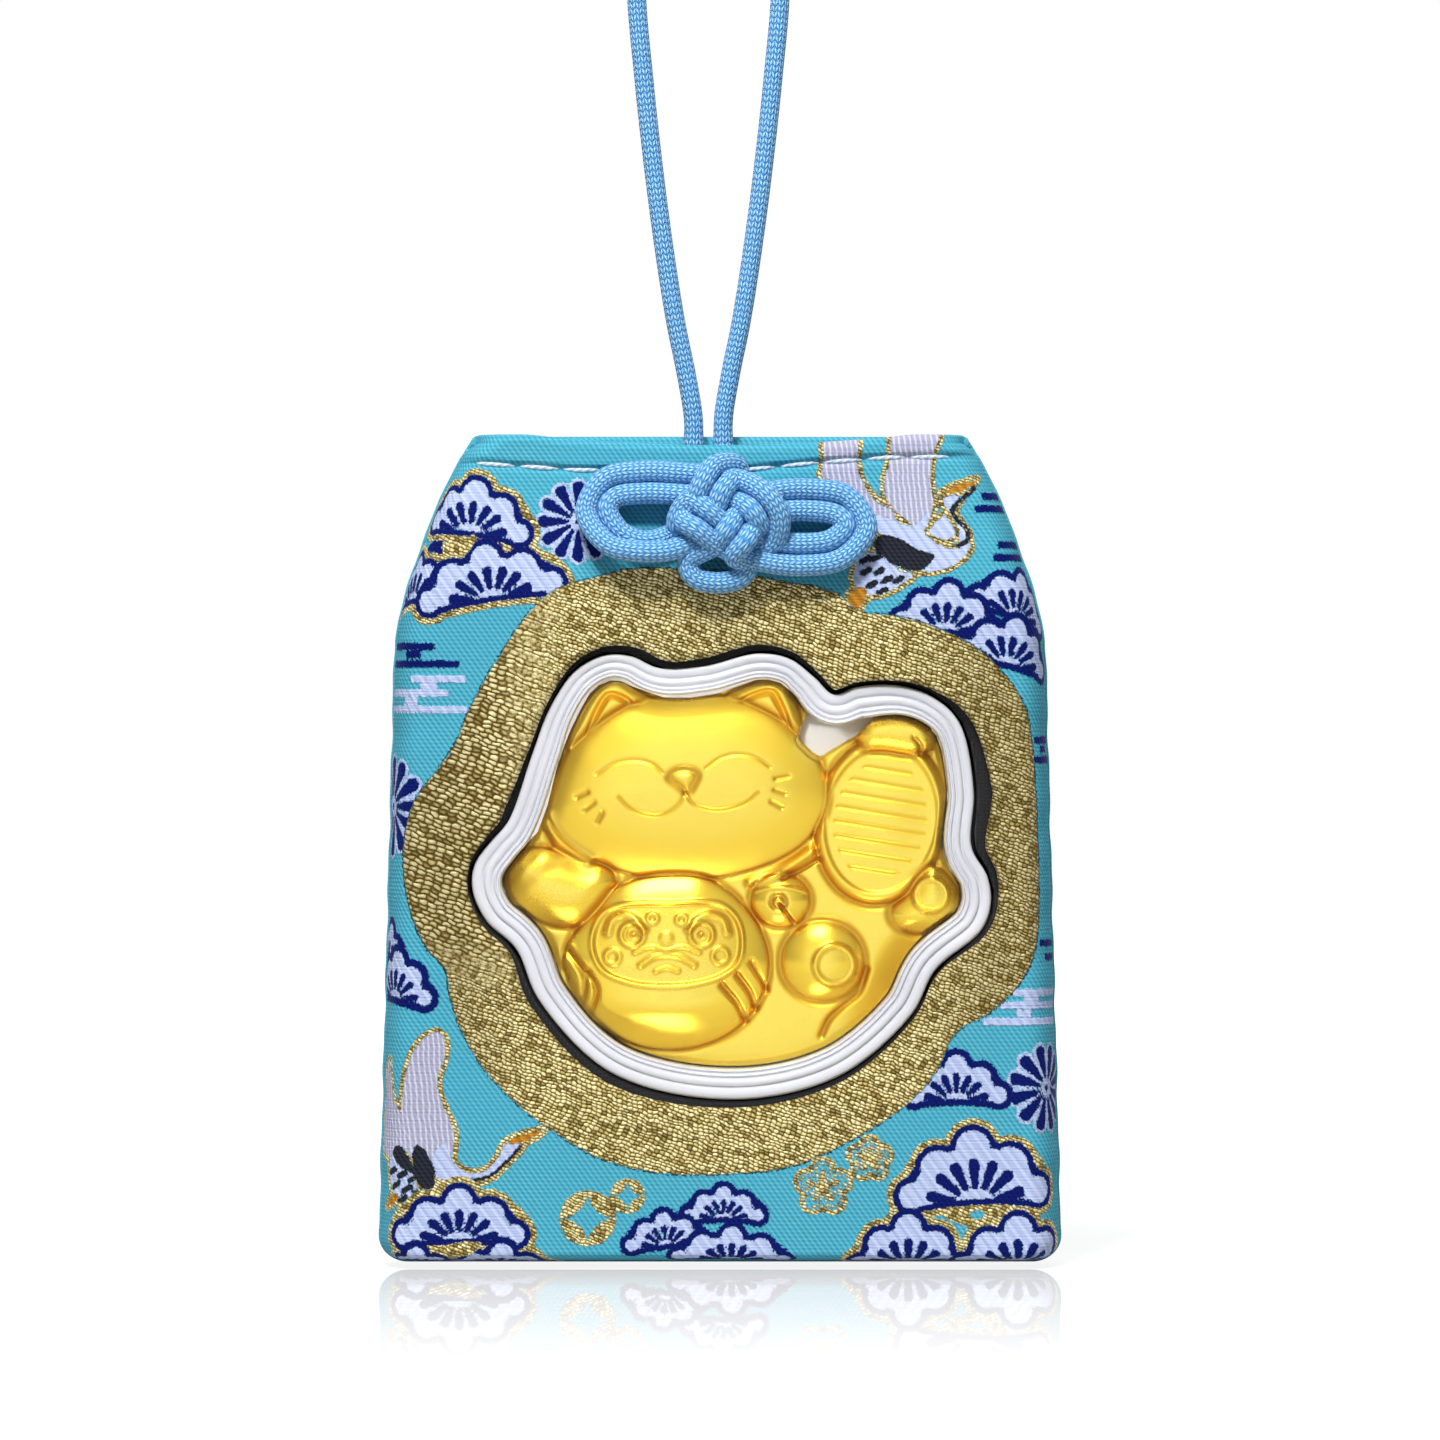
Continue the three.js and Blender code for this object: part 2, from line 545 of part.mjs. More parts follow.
/** Pressed skin: a flat border round the domes' front, hollow behind them. */
function goldFigure() {
  const domes = DOMES.map(dome).reduce((body, next) => body.add(next));
  const relief = DISHES.map(dish).reduce((body, next) => body.subtract(next), domes);
  const edge = contour(-RIM_STEP * 2 - COVER_FRONT - GAP);
  const bare = figureEllipsoid(BARE, 1, FIGURE_RISE, FIGURE_BACK);
  const border = prism(edge, FIGURE_BACK, FIGURE_BACK - FOIL).subtract(bare);
  const room = prism(edge, FIGURE_BACK, COVER_FACE);
  return border.add(relief.intersect(room)).subtract(relief.translate([0, FOIL, 0]));
}

const pouch = new THREE.Group();
pouch.name = "pouch";
pouch.add(
  node("front_panel", frontPanel(), BROCADE),
  node("back_panel", panel(1), BROCADE),
  node("front_lining", frontLining(), BLACK),
  node("back_lining", lining(1), BLACK),
  node("mount_board", mountBoard(), BLACK),
  node("stiffener_card", prism(boardOutline(GAP), CONTENT_DEPTH, STIFFENER_FRONT), CARD),
  node("capsule_base", capsuleBase(), WHITE),
  node("capsule_cover", capsuleCover(), CLEAR),
  node("backing_card", backingCard(), CARD),
  node("gold_figure", goldFigure(), GOLD),
  node("knot_cord", knotCord(), CORD_BLUE),
);

const loop = node("hanging_loop", hangingLoop(), CORD_BLUE);
const axisHeight = TAUT_RADIUS - LOOP_HEIGHT;
loop.position.set(0, 0, axisHeight);
pouch.position.set(-LOOP_SHIFT, 0, axisHeight - SWING_RISE - MOUTH);

const amulet = new THREE.Group();
amulet.name = "amulet";
amulet.add(loop, pouch);

export default amulet;
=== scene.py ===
"""Brocade amulet pouch with a pressed gold cat: surfaces, finishes, light and camera.

Shapes are worked out in the pouch's own frame in millimetres: x to the right, y to the back with the
middle plane at 0, z up from the pouch's bottom. place() takes them to the row frame, in metres.
"""
import math

import bmesh
import bpy
import numpy as np
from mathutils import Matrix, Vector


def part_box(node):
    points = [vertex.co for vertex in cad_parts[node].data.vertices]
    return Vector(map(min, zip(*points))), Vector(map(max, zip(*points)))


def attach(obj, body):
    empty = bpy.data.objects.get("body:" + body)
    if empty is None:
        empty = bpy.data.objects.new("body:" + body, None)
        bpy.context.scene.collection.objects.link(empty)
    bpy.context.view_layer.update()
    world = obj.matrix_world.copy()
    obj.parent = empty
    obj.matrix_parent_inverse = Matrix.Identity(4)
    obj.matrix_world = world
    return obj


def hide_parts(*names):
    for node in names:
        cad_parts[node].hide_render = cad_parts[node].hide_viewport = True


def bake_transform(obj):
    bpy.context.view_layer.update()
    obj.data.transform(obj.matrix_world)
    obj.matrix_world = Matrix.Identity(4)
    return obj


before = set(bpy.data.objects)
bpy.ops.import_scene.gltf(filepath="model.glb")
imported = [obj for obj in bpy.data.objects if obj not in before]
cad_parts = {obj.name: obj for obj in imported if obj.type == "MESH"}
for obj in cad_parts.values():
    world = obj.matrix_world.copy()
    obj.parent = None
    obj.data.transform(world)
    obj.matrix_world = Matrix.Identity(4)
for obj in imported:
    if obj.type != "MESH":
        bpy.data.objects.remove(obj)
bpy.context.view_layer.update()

MM = 0.001
TURN = 2 * np.pi
WELD_DISTANCE = 1e-7

# Capsule: width and height, and its middle across and up
CAPSULE_SIZE = (44.4, 38.2)
CAPSULE_MIDDLE = np.array([1.0, 33.1])
CAPSULE_BACK = 0.8
# Width of the rim: direction from the capsule's middle in degrees, and width
RIM_WIDTH = [
    (-150, 2.5), (-135, 2.4), (-110, 2.6), (-90, 2.65), (-40, 2.6), (-10, 2.6), (5, 2.35), (20, 2.2),
    (36, 2.2), (46, 2.4), (55, 2.75), (63, 2.5), (72, 2.1), (95, 2.2), (107, 2.25), (118, 1.95),
    (135, 2.1), (145, 2.3), (155, 2.35), (165, 2.35), (176, 2.6),
]
WINDOW_BACK = -4.05
WINDOW_FACE = -4.6
OUTLINE_STEPS = 1440
# Outline of the capsule, clockwise from the left ear, as shares of its width and height
OUTLINE = [
    (-0.245, 0.496), (-0.194, 0.494), (-0.141, 0.468), (-0.053, 0.472), (0.05, 0.5), (0.112, 0.488),
    (0.16, 0.446), (0.197, 0.408), (0.242, 0.425), (0.323, 0.428), (0.39, 0.401), (0.44, 0.343),
    (0.467, 0.193), (0.463, 0.066), (0.494, -0.002), (0.5, -0.064), (0.481, -0.122), (0.394, -0.209),
    (0.346, -0.312), (0.205, -0.449), (-0.001, -0.5), (-0.231, -0.441), (-0.371, -0.279),
    (-0.416, -0.163), (-0.474, -0.099), (-0.5, -0.031), (-0.495, 0.03), (-0.462, 0.083), (-0.431, 0.124),
    (-0.384, 0.278), (-0.352, 0.376), (-0.302, 0.461),
]

# Gold figure
FIGURE_BACK = -1.0
FIGURE_GAP = 0.1  # rim to the foil
FOIL = 0.5
FOIL_TOP = 2.99  # stays just behind the window
FOIL_CROWN = 0.6
FOIL_DITCH = 0.22  # round each raised shape

# Pouch
WINDOW_SHIFT = 0.4
# Gap from the rim to the cloth's edge: direction from the capsule's middle in degrees, and width
WINDOW_REVEAL = [
    (-172, 0.4), (-151, 0.8), (-133, 0.85), (-117, 0.85), (-88, 0.65), (-54, 0.4), (-30, 0.25),
    (-5, 0.55), (8, 1.2), (19, 1.55), (30, 1.1), (42, 0.5), (50, 0.35), (61, 0.4), (83, 0.75), (98, 0.65),
    (105, 0.55), (112, 0.85), (118, 0.72), (125, 0.6), (131, 0.4), (140, 0.3), (147, 0.35), (155, 0.5),
    (163, 0.72), (170, 0.5), (178, 0.35),
]
LINING_REVEAL = 0.35
LINING_INSET = 1.2
BOTTOM_HALF = 29.3
SHOULDER_INSET = 1.4
NECK_INSET = 6.7
NECK_BULGE = 0.8
SHOULDER = 53.4
NECK_HEIGHT = 17.6
TAPER_START = 55.6
MOUTH = SHOULDER + NECK_HEIGHT
HALF_DEPTH = 4.8
MOUTH_HALF_DEPTH = 2.9
BOTTOM_CORNER = 2.4
MOUTH_CORNER = 2.4
EDGE_ROLL = 2.6
BOTTOM_ROLL = 0.9
EDGE_WAVE = 0.05
HEM_DIP = 0.9
HEM_DIP_HALF = 16.5
HEM_FOLD = 1.4
HEM_RUN = 3.2
SEAM_TUCK = 0.3
SEAM_RUN = 0.9
WINDOW_LIP = 0.5
LINING_TOP = 67.6
LINING_FOLD = 0.2
LINING_RUN = 0.9
# Rows and columns of the cloth
FRONT_GRID = (101, 880)
BACK_GRID = (128, 720)
LINING_GRID = (40, 260)
# Rows of cloth turned in at the window: outwards under the cloth, and back
WINDOW_TURN = [(0.03, 0.35), (0.4, 0.55)]
LEAST_DEPTH = 0.05
HEM_SWELL = 0.26
STITCH_GROOVE = 0.24
SIDE_PUCKER = 0.1
BOTTOM_PUCKER = 0.06
FOLD_STEP = 0.2  # cloth taken up by each row of the folded edge
# Cut cloth: what is added across and up, and the area of the window in square millimetres
BROCADE_ALLOWANCE = (8, 8)
LINING_ALLOWANCE = (2, 3)
BROCADE_OPENING = 1310
LINING_OPENING = 1240
# Stitch line of the hem, left to right: across, up
STITCH_LINE = [(-21, 68.5), (-12.2, 67.9), (2, 67.9), (7.9, 68.5), (14.5, 69), (21.5, 69.1)]
STITCH_LENGTH = 3.3
STITCH_GAP = 0.42
STITCH_THREAD = 0.42
STITCH_LIFT = 0.16
STITCH_SINK = 0.1

# Cord
TAUT_CORD = 1.65
SLACK_CORD = 1.85
LOOP_SHIFT = -1.0
LOOP_HEIGHT = 47.0
SWING_AXIS = MOUTH + 1.5
STRAND_SPREAD = 1.3
CORD_END = 69.6
STRAND_DROP = 2.4  # from the mouth to where the strands turn to the cloth
CORD_SIDES = 28
LOOP_STEPS = 520
KNOT_STEPS = 1500
KNOT_MIDDLE = (0.4, 64.0)
PAIR_PITCH = 1.86
# Half of the hanging loop, from the swing axis up: distance from its middle, share of its height
LOOP_HALF = [
    (1.3, 0), (1.9, 0.08), (2.85, 0.18), (4.2, 0.37), (5.55, 0.62), (6.2, 0.8), (5.7, 0.91), (3.6, 0.975),
]
# One pass of the knot's doubled strand, from the knot's middle: across, up, away from the cloth, and
# the lean of the pair in degrees where one strand lies behind the other
KNOT_PASS = [
    (0.4, 2.3, -2.2, 0), (0.4, 2.5, -0.4, 0), (0.4, 2.8, 1.1, 0), (0.3, 3.6, 2, 0), (-0.2, 3.5, 3.6, 0),
    (-1, 2.4, 4.3, 0), (-1.8, 0.6, 3.6, 0), (-2.8, -1.2, 2.4, 0), (-4.4, -2.3, 2.1, 45),
    (-7, -2.7, 2.2, 60), (-9.5, -1.9, 2, 35), (-10.9, 0.4, 1.6, 0), (-9.8, 2.3, 1.6, 0),
    (-7, 2.8, 1.7, 0), (-4, 2.7, 2, 0), (-1.2, 2.4, 2.3, 0), (1.2, 2, 3.3, 0), (2.9, 1, 4.4, 0),
    (3.8, -0.5, 3.8, 0), (3.5, -1.7, 2.2, 0), (2.1, -1.7, 1.5, 0), (0, -0.9, 1.35, 0),
    (-2.3, -0.4, 1.45, 0), (-3.5, 0, 2.4, 0), (-3.2, 0.3, 3.6, 0), (-1.9, -0.45, 4.2, 0),
    (-0.4, -1.6, 3.4, 0), (1.4, -2.5, 2.3, 0), (3.6, -3.1, 2, 0), (6.6, -3.4, 1.8, 0),
    (9.6, -2.9, 1.6, 0), (11.2, -1, 1.6, 0), (10, 0.8, 1.6, 0), (7, 1.3, 1.7, 0), (5, 1.2, 2, 0),
    (3.5, 0.8, 2.2, 0), (2.1, -0.2, 3, 0), (1, -1.8, 4.3, 0), (0.1, -3, 3.3, 0),
]
# The single loop under the knot that joins the two passes
KNOT_TURN = [(2, -4.2, 1.9), (1.4, -5.3, 1.7), (-0.6, -5.8, 1.7), (-2.6, -5.3, 1.7), (-3.1, -4, 1.9)]

# View: the picture's width at the front cloth, its middle in the pouch's frame, and the camera's distance
PICTURE_WIDTH = 1440 / 11.7
PICTURE_MIDDLE = (0.0, 46.5)
VIEW_DISTANCE = 600.0
FLOOR_DROP = 0.5
FLOOR_MIRROR = 0.44
FLOOR_STEPS = 9
LIGHT_AIM = (0, 0, 40)

back_low, back_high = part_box("back_panel")
POUCH_ORIGIN = np.array([(back_low[0] + back_high[0]) / 2, 0.0, back_low[2]])


def place(points):
    """Pouch millimetres to row-frame metres."""
    return np.asarray(points, float) * MM + POUCH_ORIGIN


def smoothstep(low, high, value):
    """0 below `low`, 1 above `high`, and 3t^2 - 2t^3 between them."""
    t = np.clip((value - low) / (high - low), 0, 1)
    return t * t * (3 - 2 * t)


def unit(vectors):
    """Vectors divided by their lengths."""
    return vectors / np.linalg.norm(vectors, axis=-1, keepdims=True)


def run_along(points):
    """Length of a line of straight pieces from its start to each point."""
    return np.concatenate([[0], np.cumsum(np.linalg.norm(np.diff(points, axis=0), axis=1))])


def left_of(ring):
    """Unit vectors to the left of a closed outline: its direction, turned by a right angle."""
    along = unit(np.roll(ring, -1, axis=0) - np.roll(ring, 1, axis=0))
    return np.stack([-along[:, 1], along[:, 0]], axis=1)


def upright(flat, depth):
    """Points in the pouch's frame from places across and up and their depth."""
    return np.stack(np.broadcast_arrays(flat[..., 0], depth, flat[..., 1]), axis=-1)


def spline(points, count, closed=False):
    """Evenly spaced points on the centripetal Catmull-Rom curve through `points`.

    Each span is a cubic Hermite piece whose tangents come from knots spaced by the root of the chord.
    """
    knots = np.asarray(points, float)
    if closed:
        p0, p1, p2, p3 = (np.roll(knots, shift, axis=0) for shift in (1, 0, -1, -2))
    else:
        ends = np.vstack([2 * knots[:1] - knots[1:2], knots, 2 * knots[-1:] - knots[-2:-1]])
        p0, p1, p2, p3 = ends[:-3], ends[1:-2], ends[2:-1], ends[3:]
    spans = ((p0, p1), (p1, p2), (p2, p3))
    d0, d1, d2 = (np.sqrt(np.linalg.norm(b - a, axis=1))[:, None] for a, b in spans)
    leave = ((p1 - p0) / d0 - (p2 - p0) / (d0 + d1) + (p2 - p1) / d1) * d1
    arrive = ((p2 - p1) / d1 - (p3 - p1) / (d1 + d2) + (p3 - p2) / d2) * d1
    t = np.linspace(0, 1, 40, endpoint=False)[None, :, None]
    dense = (
        (2 * t**3 - 3 * t**2 + 1) * p1[:, None] + (t**3 - 2 * t**2 + t) * leave[:, None]
        + (3 * t**2 - 2 * t**3) * p2[:, None] + (t**3 - t**2) * arrive[:, None]
    ).reshape(-1, knots.shape[1])
    dense = np.vstack([dense, knots[:1] if closed else knots[-1:]])
    run = run_along(dense)
    wanted = np.linspace(0, run[-1], count, endpoint=not closed)
    return np.stack([np.interp(wanted, run, line) for line in dense.T], axis=1)


def contour(grow, count):
    """The capsule's outline moved outwards along its normal by `grow`, one number or one for each point."""
    ring = spline(np.array(OUTLINE) * CAPSULE_SIZE, count, closed=True)
    return ring + left_of(ring) * np.broadcast_to(grow, count)[:, None] + CAPSULE_MIDDLE


def by_direction(table, count):
    """Widths from a table of degrees and millimetres, for each step of the outline seen from its middle."""
    away = contour(0, count) - CAPSULE_MIDDLE
    degrees, widths = np.array(table).T
    return np.interp(np.degrees(np.arctan2(away[:, 1], away[:, 0])), degrees, widths, period=360)


def rim_inside(gap, count):
    """Inner edge of the capsule's rim, moved inwards by `gap`."""
    return contour(-by_direction(RIM_WIDTH, count) - gap, count)


def window_edge(count):
    """Edge of the cloth round the capsule, whose gap to the rim changes with direction."""
    return contour(by_direction(WINDOW_REVEAL, count), count)


def polar(points, centre):
    """Distance from `centre` to a star-shaped outline, as a function of the angle."""
    away = np.asarray(points) - centre
    angle = np.arctan2(away[:, 1], away[:, 0])
    order = np.argsort(angle)
    angle, radius = angle[order], np.hypot(away[:, 0], away[:, 1])[order]
    return lambda theta: np.interp(theta, angle, radius, period=TURN)


# Meshes


def grid_quads(rows, columns, wrap):
    """Corner numbers of a grid's quads, column beside column; `wrap` joins the last column to the first."""
    index = np.arange(rows * columns).reshape(rows, columns)
    return grid_corners(np.hstack([index, index[:, :1]]) if wrap else index)


def grid_corners(grid):
    """The four corner values of each cell of a grid, one cell after another."""
    four = np.stack([grid[:-1, :-1], grid[:-1, 1:], grid[1:, 1:], grid[1:, :-1]], axis=2)
    return four.reshape(-1, 4, *grid.shape[2:])


def turned_in(points, quads, facing):
    """True where the quads' summed normal is against `facing`, or a closed grid's volume is negative."""
    a, b, c, d = (points[quads[:, i]] for i in range(4))
    normal = np.cross(c - a, d - b)
    if facing is None:
        return np.sum(normal * (a + b + c + d)) < 0
    return np.sum(normal @ np.asarray(facing, float)) < 0


def add(name, data):
    """New object at the origin, in the scene."""
    made = bpy.data.objects.new(name, data)
    bpy.context.scene.collection.objects.link(made)
    return made


def piece(name, patches, look, weld=False):
    """Smooth mesh object made of grids.

    A patch holds points (rows, columns, 3) in pouch millimetres, and may hold wrap, facing, uv with one
    more column where it wraps, and values, which are named numbers at its points.
    """
    places, faces, charts = [], [], []
    start = 0
    for patch in patches:
        rows, columns = patch["points"].shape[:2]
        points = patch["points"].reshape(-1, 3)
        quads = grid_quads(rows, columns, patch.get("wrap", False))
        chart = grid_corners(patch["uv"]) if "uv" in patch else np.zeros((len(quads), 4, 2))
        if turned_in(points - points.mean(axis=0), quads, patch.get("facing")):
            quads, chart = quads[:, ::-1], chart[:, ::-1]
        places.append(points)
        faces.append(quads + start)
        charts.append(chart)
        start += len(points)
    places, faces, charts = (np.concatenate(part) for part in (places, faces, charts))
    mesh = bpy.data.meshes.new(name)
    mesh.vertices.add(len(places))
    mesh.vertices.foreach_set("co", place(places).ravel())
    mesh.loops.add(faces.size)
    mesh.loops.foreach_set("vertex_index", faces.ravel())
    mesh.polygons.add(len(faces))
    mesh.polygons.foreach_set("loop_start", np.arange(0, faces.size, 4))
    mesh.uv_layers.new(name="cloth").data.foreach_set("uv", charts.ravel())
    for key in patches[0].get("values", {}):
        numbers = np.concatenate([patch["values"][key].ravel() for patch in patches])
        mesh.attributes.new(key, "FLOAT", "POINT").data.foreach_set("value", numbers)
    mesh.update(calc_edges=True)
    if weld:
        shell = bmesh.new()
        shell.from_mesh(mesh)
        bmesh.ops.remove_doubles(shell, verts=shell.verts, dist=WELD_DISTANCE)
        shell.to_mesh(mesh)
        shell.free()
    mesh.shade_smooth()
    mesh.materials.append(look)
    made = add(name, mesh)
    return made


def frames_along(path):
    """Two unit vectors across a path at each step, carried along it without twist."""
    along = unit(np.gradient(path, axis=0))
    side = np.zeros_like(path)
    side[0] = unit(np.cross(along[0], (0.31, 0.92, 0.24)))
    for step in range(1, len(path)):
        side[step] = unit(side[step - 1] - along[step] * (along[step] @ side[step - 1]))
    return side, np.cross(along, side)


def tube(path, radius, sides):
    """Round section carried along a path: path + r (cos a side + sin a up), closed at both ends.

    `radius` is one number for each step. The chart runs once round and, in millimetres, along.
    """
    side, up = frames_along(path)
    run = run_along(path)
    path, side, up = (np.concatenate([part[:1], part, part[-1:]]) for part in (path, side, up))
    radius = np.concatenate([[0], radius, [0]])
    run = np.concatenate([run[:1], run, run[-1:]])
    angle = np.linspace(0, TURN, sides, endpoint=False)
    ring = np.cos(angle)[None, :, None] * side[:, None] + np.sin(angle)[None, :, None] * up[:, None]
    across = np.linspace(0, 1, sides + 1)
    uv = np.stack(np.broadcast_arrays(across[None, :], run[:, None]), axis=2)
    return {"points": path[:, None] + radius[:, None, None] * ring, "wrap": True, "uv": uv}


# The pouch's shape


def half_width(z):
    """Half the pouch's width: leaning sides, a bulging neck, round corners and a slightly wavy seam."""
    side = np.minimum(z / SHOULDER, 1)
    neck = np.clip((z - SHOULDER) / NECK_HEIGHT, 0, 1)
    low = np.clip(BOTTOM_CORNER - z, 0, BOTTOM_CORNER)
    high = np.clip(z - MOUTH + MOUTH_CORNER, 0, MOUTH_CORNER)
    cut = BOTTOM_CORNER - np.sqrt(BOTTOM_CORNER**2 - low**2)
    cut = cut + MOUTH_CORNER - np.sqrt(MOUTH_CORNER**2 - high**2)
    wave = EDGE_WAVE * (np.sin(z / 1.27 + 0.5) + 0.6 * np.sin(z / 0.61)) * smoothstep(0, 8, MOUTH - z)
    bulge = NECK_BULGE * 4 * neck * (1 - neck)
    return BOTTOM_HALF - side * SHOULDER_INSET - neck * NECK_INSET - cut + wave + bulge


def half_depth(z):
    """Half the pouch's depth on its middle line, easing in from the shoulder to the mouth."""
    return HALF_DEPTH + (MOUTH_HALF_DEPTH - HALF_DEPTH) * smoothstep(TAPER_START, MOUTH, z)


def roll(edge_distance, radius):
    """Share of the depth at a distance from a rolled edge: a quarter ellipse, then 1."""
    return np.sqrt(1 - (1 - np.clip(edge_distance / radius, 0, 1)) ** 2)


def bag_depth(x, z, inset=0.0):
    """Distance from the middle plane to a layer `inset` within the cloth: depth(z) roll(z) roll(side)."""
    side = half_width(z) - inset - np.abs(x)
    low = roll(z - inset, BOTTOM_ROLL - 0.6 * inset)
    return (half_depth(z) - inset) * low * roll(side, EDGE_ROLL - 0.6 * inset)


def roll_excess(edge_distance, radius):
    """Cloth that a rolled edge takes up beyond the straight distance: the arc of its roll less its run."""
    angle = np.linspace(np.pi / 2, 0, 200)
    edge = radius * (1 - np.cos(angle))
    arc = np.hypot(np.diff(radius * np.cos(angle)), np.diff(HALF_DEPTH * np.sin(angle)))
    excess = np.concatenate([[0], np.cumsum(arc)]) - (radius - edge)
    return np.interp(edge_distance, edge[::-1], excess[::-1])


def stitch_line(x):
    """Height of the hem's stitches: straight pieces between the points of STITCH_LINE."""
    across, up = np.array(STITCH_LINE).T
    return np.interp(x, across, up)


def hem_top(x, dip):
    """Height of the hem's edge: the mouth, less a shallow parabola where the hem sags."""
    return MOUTH - dip * np.clip(1 - (x / HEM_DIP_HALF) ** 2, 0, 1)


def bag_outline(inset, top):
    """Closed outline of a layer, anticlockwise from the bottom right; top(x) is its upper edge."""
    turn = np.linspace(0, np.pi / 2, 40)
    low = BOTTOM_CORNER * (1 - np.cos(turn))
    high = MOUTH - MOUTH_CORNER * (1 - np.sin(turn))
    z = np.concatenate([low, np.linspace(BOTTOM_CORNER, MOUTH - MOUTH_CORNER, 500)[1:-1], high])
    half = half_width(z) - inset
    z = np.maximum(z, inset)
    z = np.minimum(z, top(half))
    crown = np.linspace(half[-1], -half[-1], 300)[1:-1]
    base = np.linspace(-half[0], half[0], 300)[1:-1]
    sides = ((half, z), (crown, top(crown)), (-half[::-1], z[::-1]), (base, np.full_like(base, inset)))
    return np.concatenate([np.stack(side, axis=1) for side in sides])


def even_angles(inner, outer, count):
    """Angles at which the middle line between two polar outlines is cut into even lengths."""
    theta = np.linspace(-np.pi, np.pi, 6001)
    radius = (inner(theta) + outer(theta)) / 2
    line = np.stack([radius * np.cos(theta), radius * np.sin(theta)], axis=1)
    run = run_along(line)
    return np.interp(np.linspace(0, run[-1], count, endpoint=False), run, theta)


def cloth_relief(x, z, side):
    """Small ups and downs of the cloth: hem swell, stitch groove, seam puckers and slow slack waves."""
    line = stitch_line(x)
    swell = HEM_SWELL * smoothstep(0.0, 0.55, z - line)
    groove = -STITCH_GROOVE * np.exp(-(((z - line) / 0.32) ** 2))
    edge = half_width(z) - np.abs(x)
    beside, below = roll(edge, EDGE_ROLL), roll(z, BOTTOM_ROLL)
    pucker = SIDE_PUCKER * np.sin(z / 0.74 + 1.3 * np.sin(z / 9)) * np.exp(-edge / 1.7) * beside
    low = BOTTOM_PUCKER * np.sin(x / 0.9 + np.sin(x / 7)) * np.exp(-z / 1.6) * below
    slack = 0.1 * np.sin(x / 7.3 + z / 11.7 + 0.6 * side) + 0.07 * np.sin(x / 3.9 - z / 5.7)
    return swell + groove + pucker + low + slack * beside * below


def bag_sheet(side, inset, window, top, fold, run, grid, relief=True):
    """One side of the bag as rings between the window, or the middle point, and the pouch's outline.

    A ring's radius is inner + (outer - inner) s, where s is 1 - (1 - k)^1.5, or k^0.85 without a window.
    Its depth is bag_depth. The window's edge turns in round a lip, and the outer edge folds back round half
    a turn of `fold` and runs inwards by `run`.
    """
    rows, columns = grid
    centre = CAPSULE_MIDDLE + (WINDOW_SHIFT, 0)
    outer = polar(bag_outline(inset, top), centre)
    inner = np.zeros_like if window is None else polar(window, centre)
    theta = even_angles(inner, outer, columns)
    ray = np.stack([np.cos(theta), np.sin(theta)], axis=1)
    share = np.linspace(0, 1, rows)
    share = 1 - (1 - share) ** 1.5 if window is not None else share**0.85
    near, far = inner(theta), outer(theta)
    radius = near + (far - near) * share[:, None]
    flat = centre + radius[:, :, None] * ray
    x, z = flat[:, :, 0], flat[:, :, 1]
    depth = bag_depth(x, z, inset)
    if relief:
        depth = depth + cloth_relief(x, z, side)
    if window is not None:
        lip = np.clip(WINDOW_LIP - (radius - near), 0, WINDOW_LIP)
        depth = depth - (WINDOW_LIP - np.sqrt(WINDOW_LIP**2 - lip**2))
    depth = np.maximum(depth, LEAST_DEPTH)
    rings = [upright(flat, side * depth)]
    beside = roll_excess(half_width(z) - np.abs(x), EDGE_ROLL)
    charts = [np.stack([x + np.sign(x) * beside, z - roll_excess(z, BOTTOM_ROLL)], axis=2)]
    if window is not None:
        for under, back in WINDOW_TURN:
            edge = centre + (near + under)[:, None] * ray
            rings.insert(0, upright(edge, side * (depth[0] - back))[None])
            charts.insert(0, charts[-1][:1])
    rim = flat[-1]
    outward = -left_of(rim)
    mouth = smoothstep(0.6, 0.97, outward[:, 1])
    thick = SEAM_TUCK + (fold - SEAM_TUCK) * mouth
    reach = SEAM_RUN + (run - SEAM_RUN) * mouth
    turns = np.linspace(0, np.pi, 9)[1:]
    bends = [(thick / 2 * np.sin(turn), thick / 2 * (1 - np.cos(turn))) for turn in turns]
    runs = [(-reach * step, thick) for step in (0.35, 0.7, 1.0)]
    for out, back in bends + runs:
        rings.append(upright(rim + outward * out[:, None], side * (depth[-1] - back))[None])
        charts.append(charts[-1][-1:] + (outward * FOLD_STEP)[None])
    chart = np.concatenate(charts)
    uv = np.concatenate([chart, chart[:, :1]], axis=1)
    return {"points": np.concatenate(rings), "wrap": True, "facing": (0, side, 0), "uv": uv, "chart": chart}


# Shader helpers


def tint(red, green, blue):
    """Linear colour from screen values of 0 to 255."""
    values = np.array([red, green, blue]) / 255
    linear = np.where(values <= 0.04045, values / 12.92, ((values + 0.055) / 1.055) ** 2.4)
    return (*[float(value) for value in linear], 1.0)


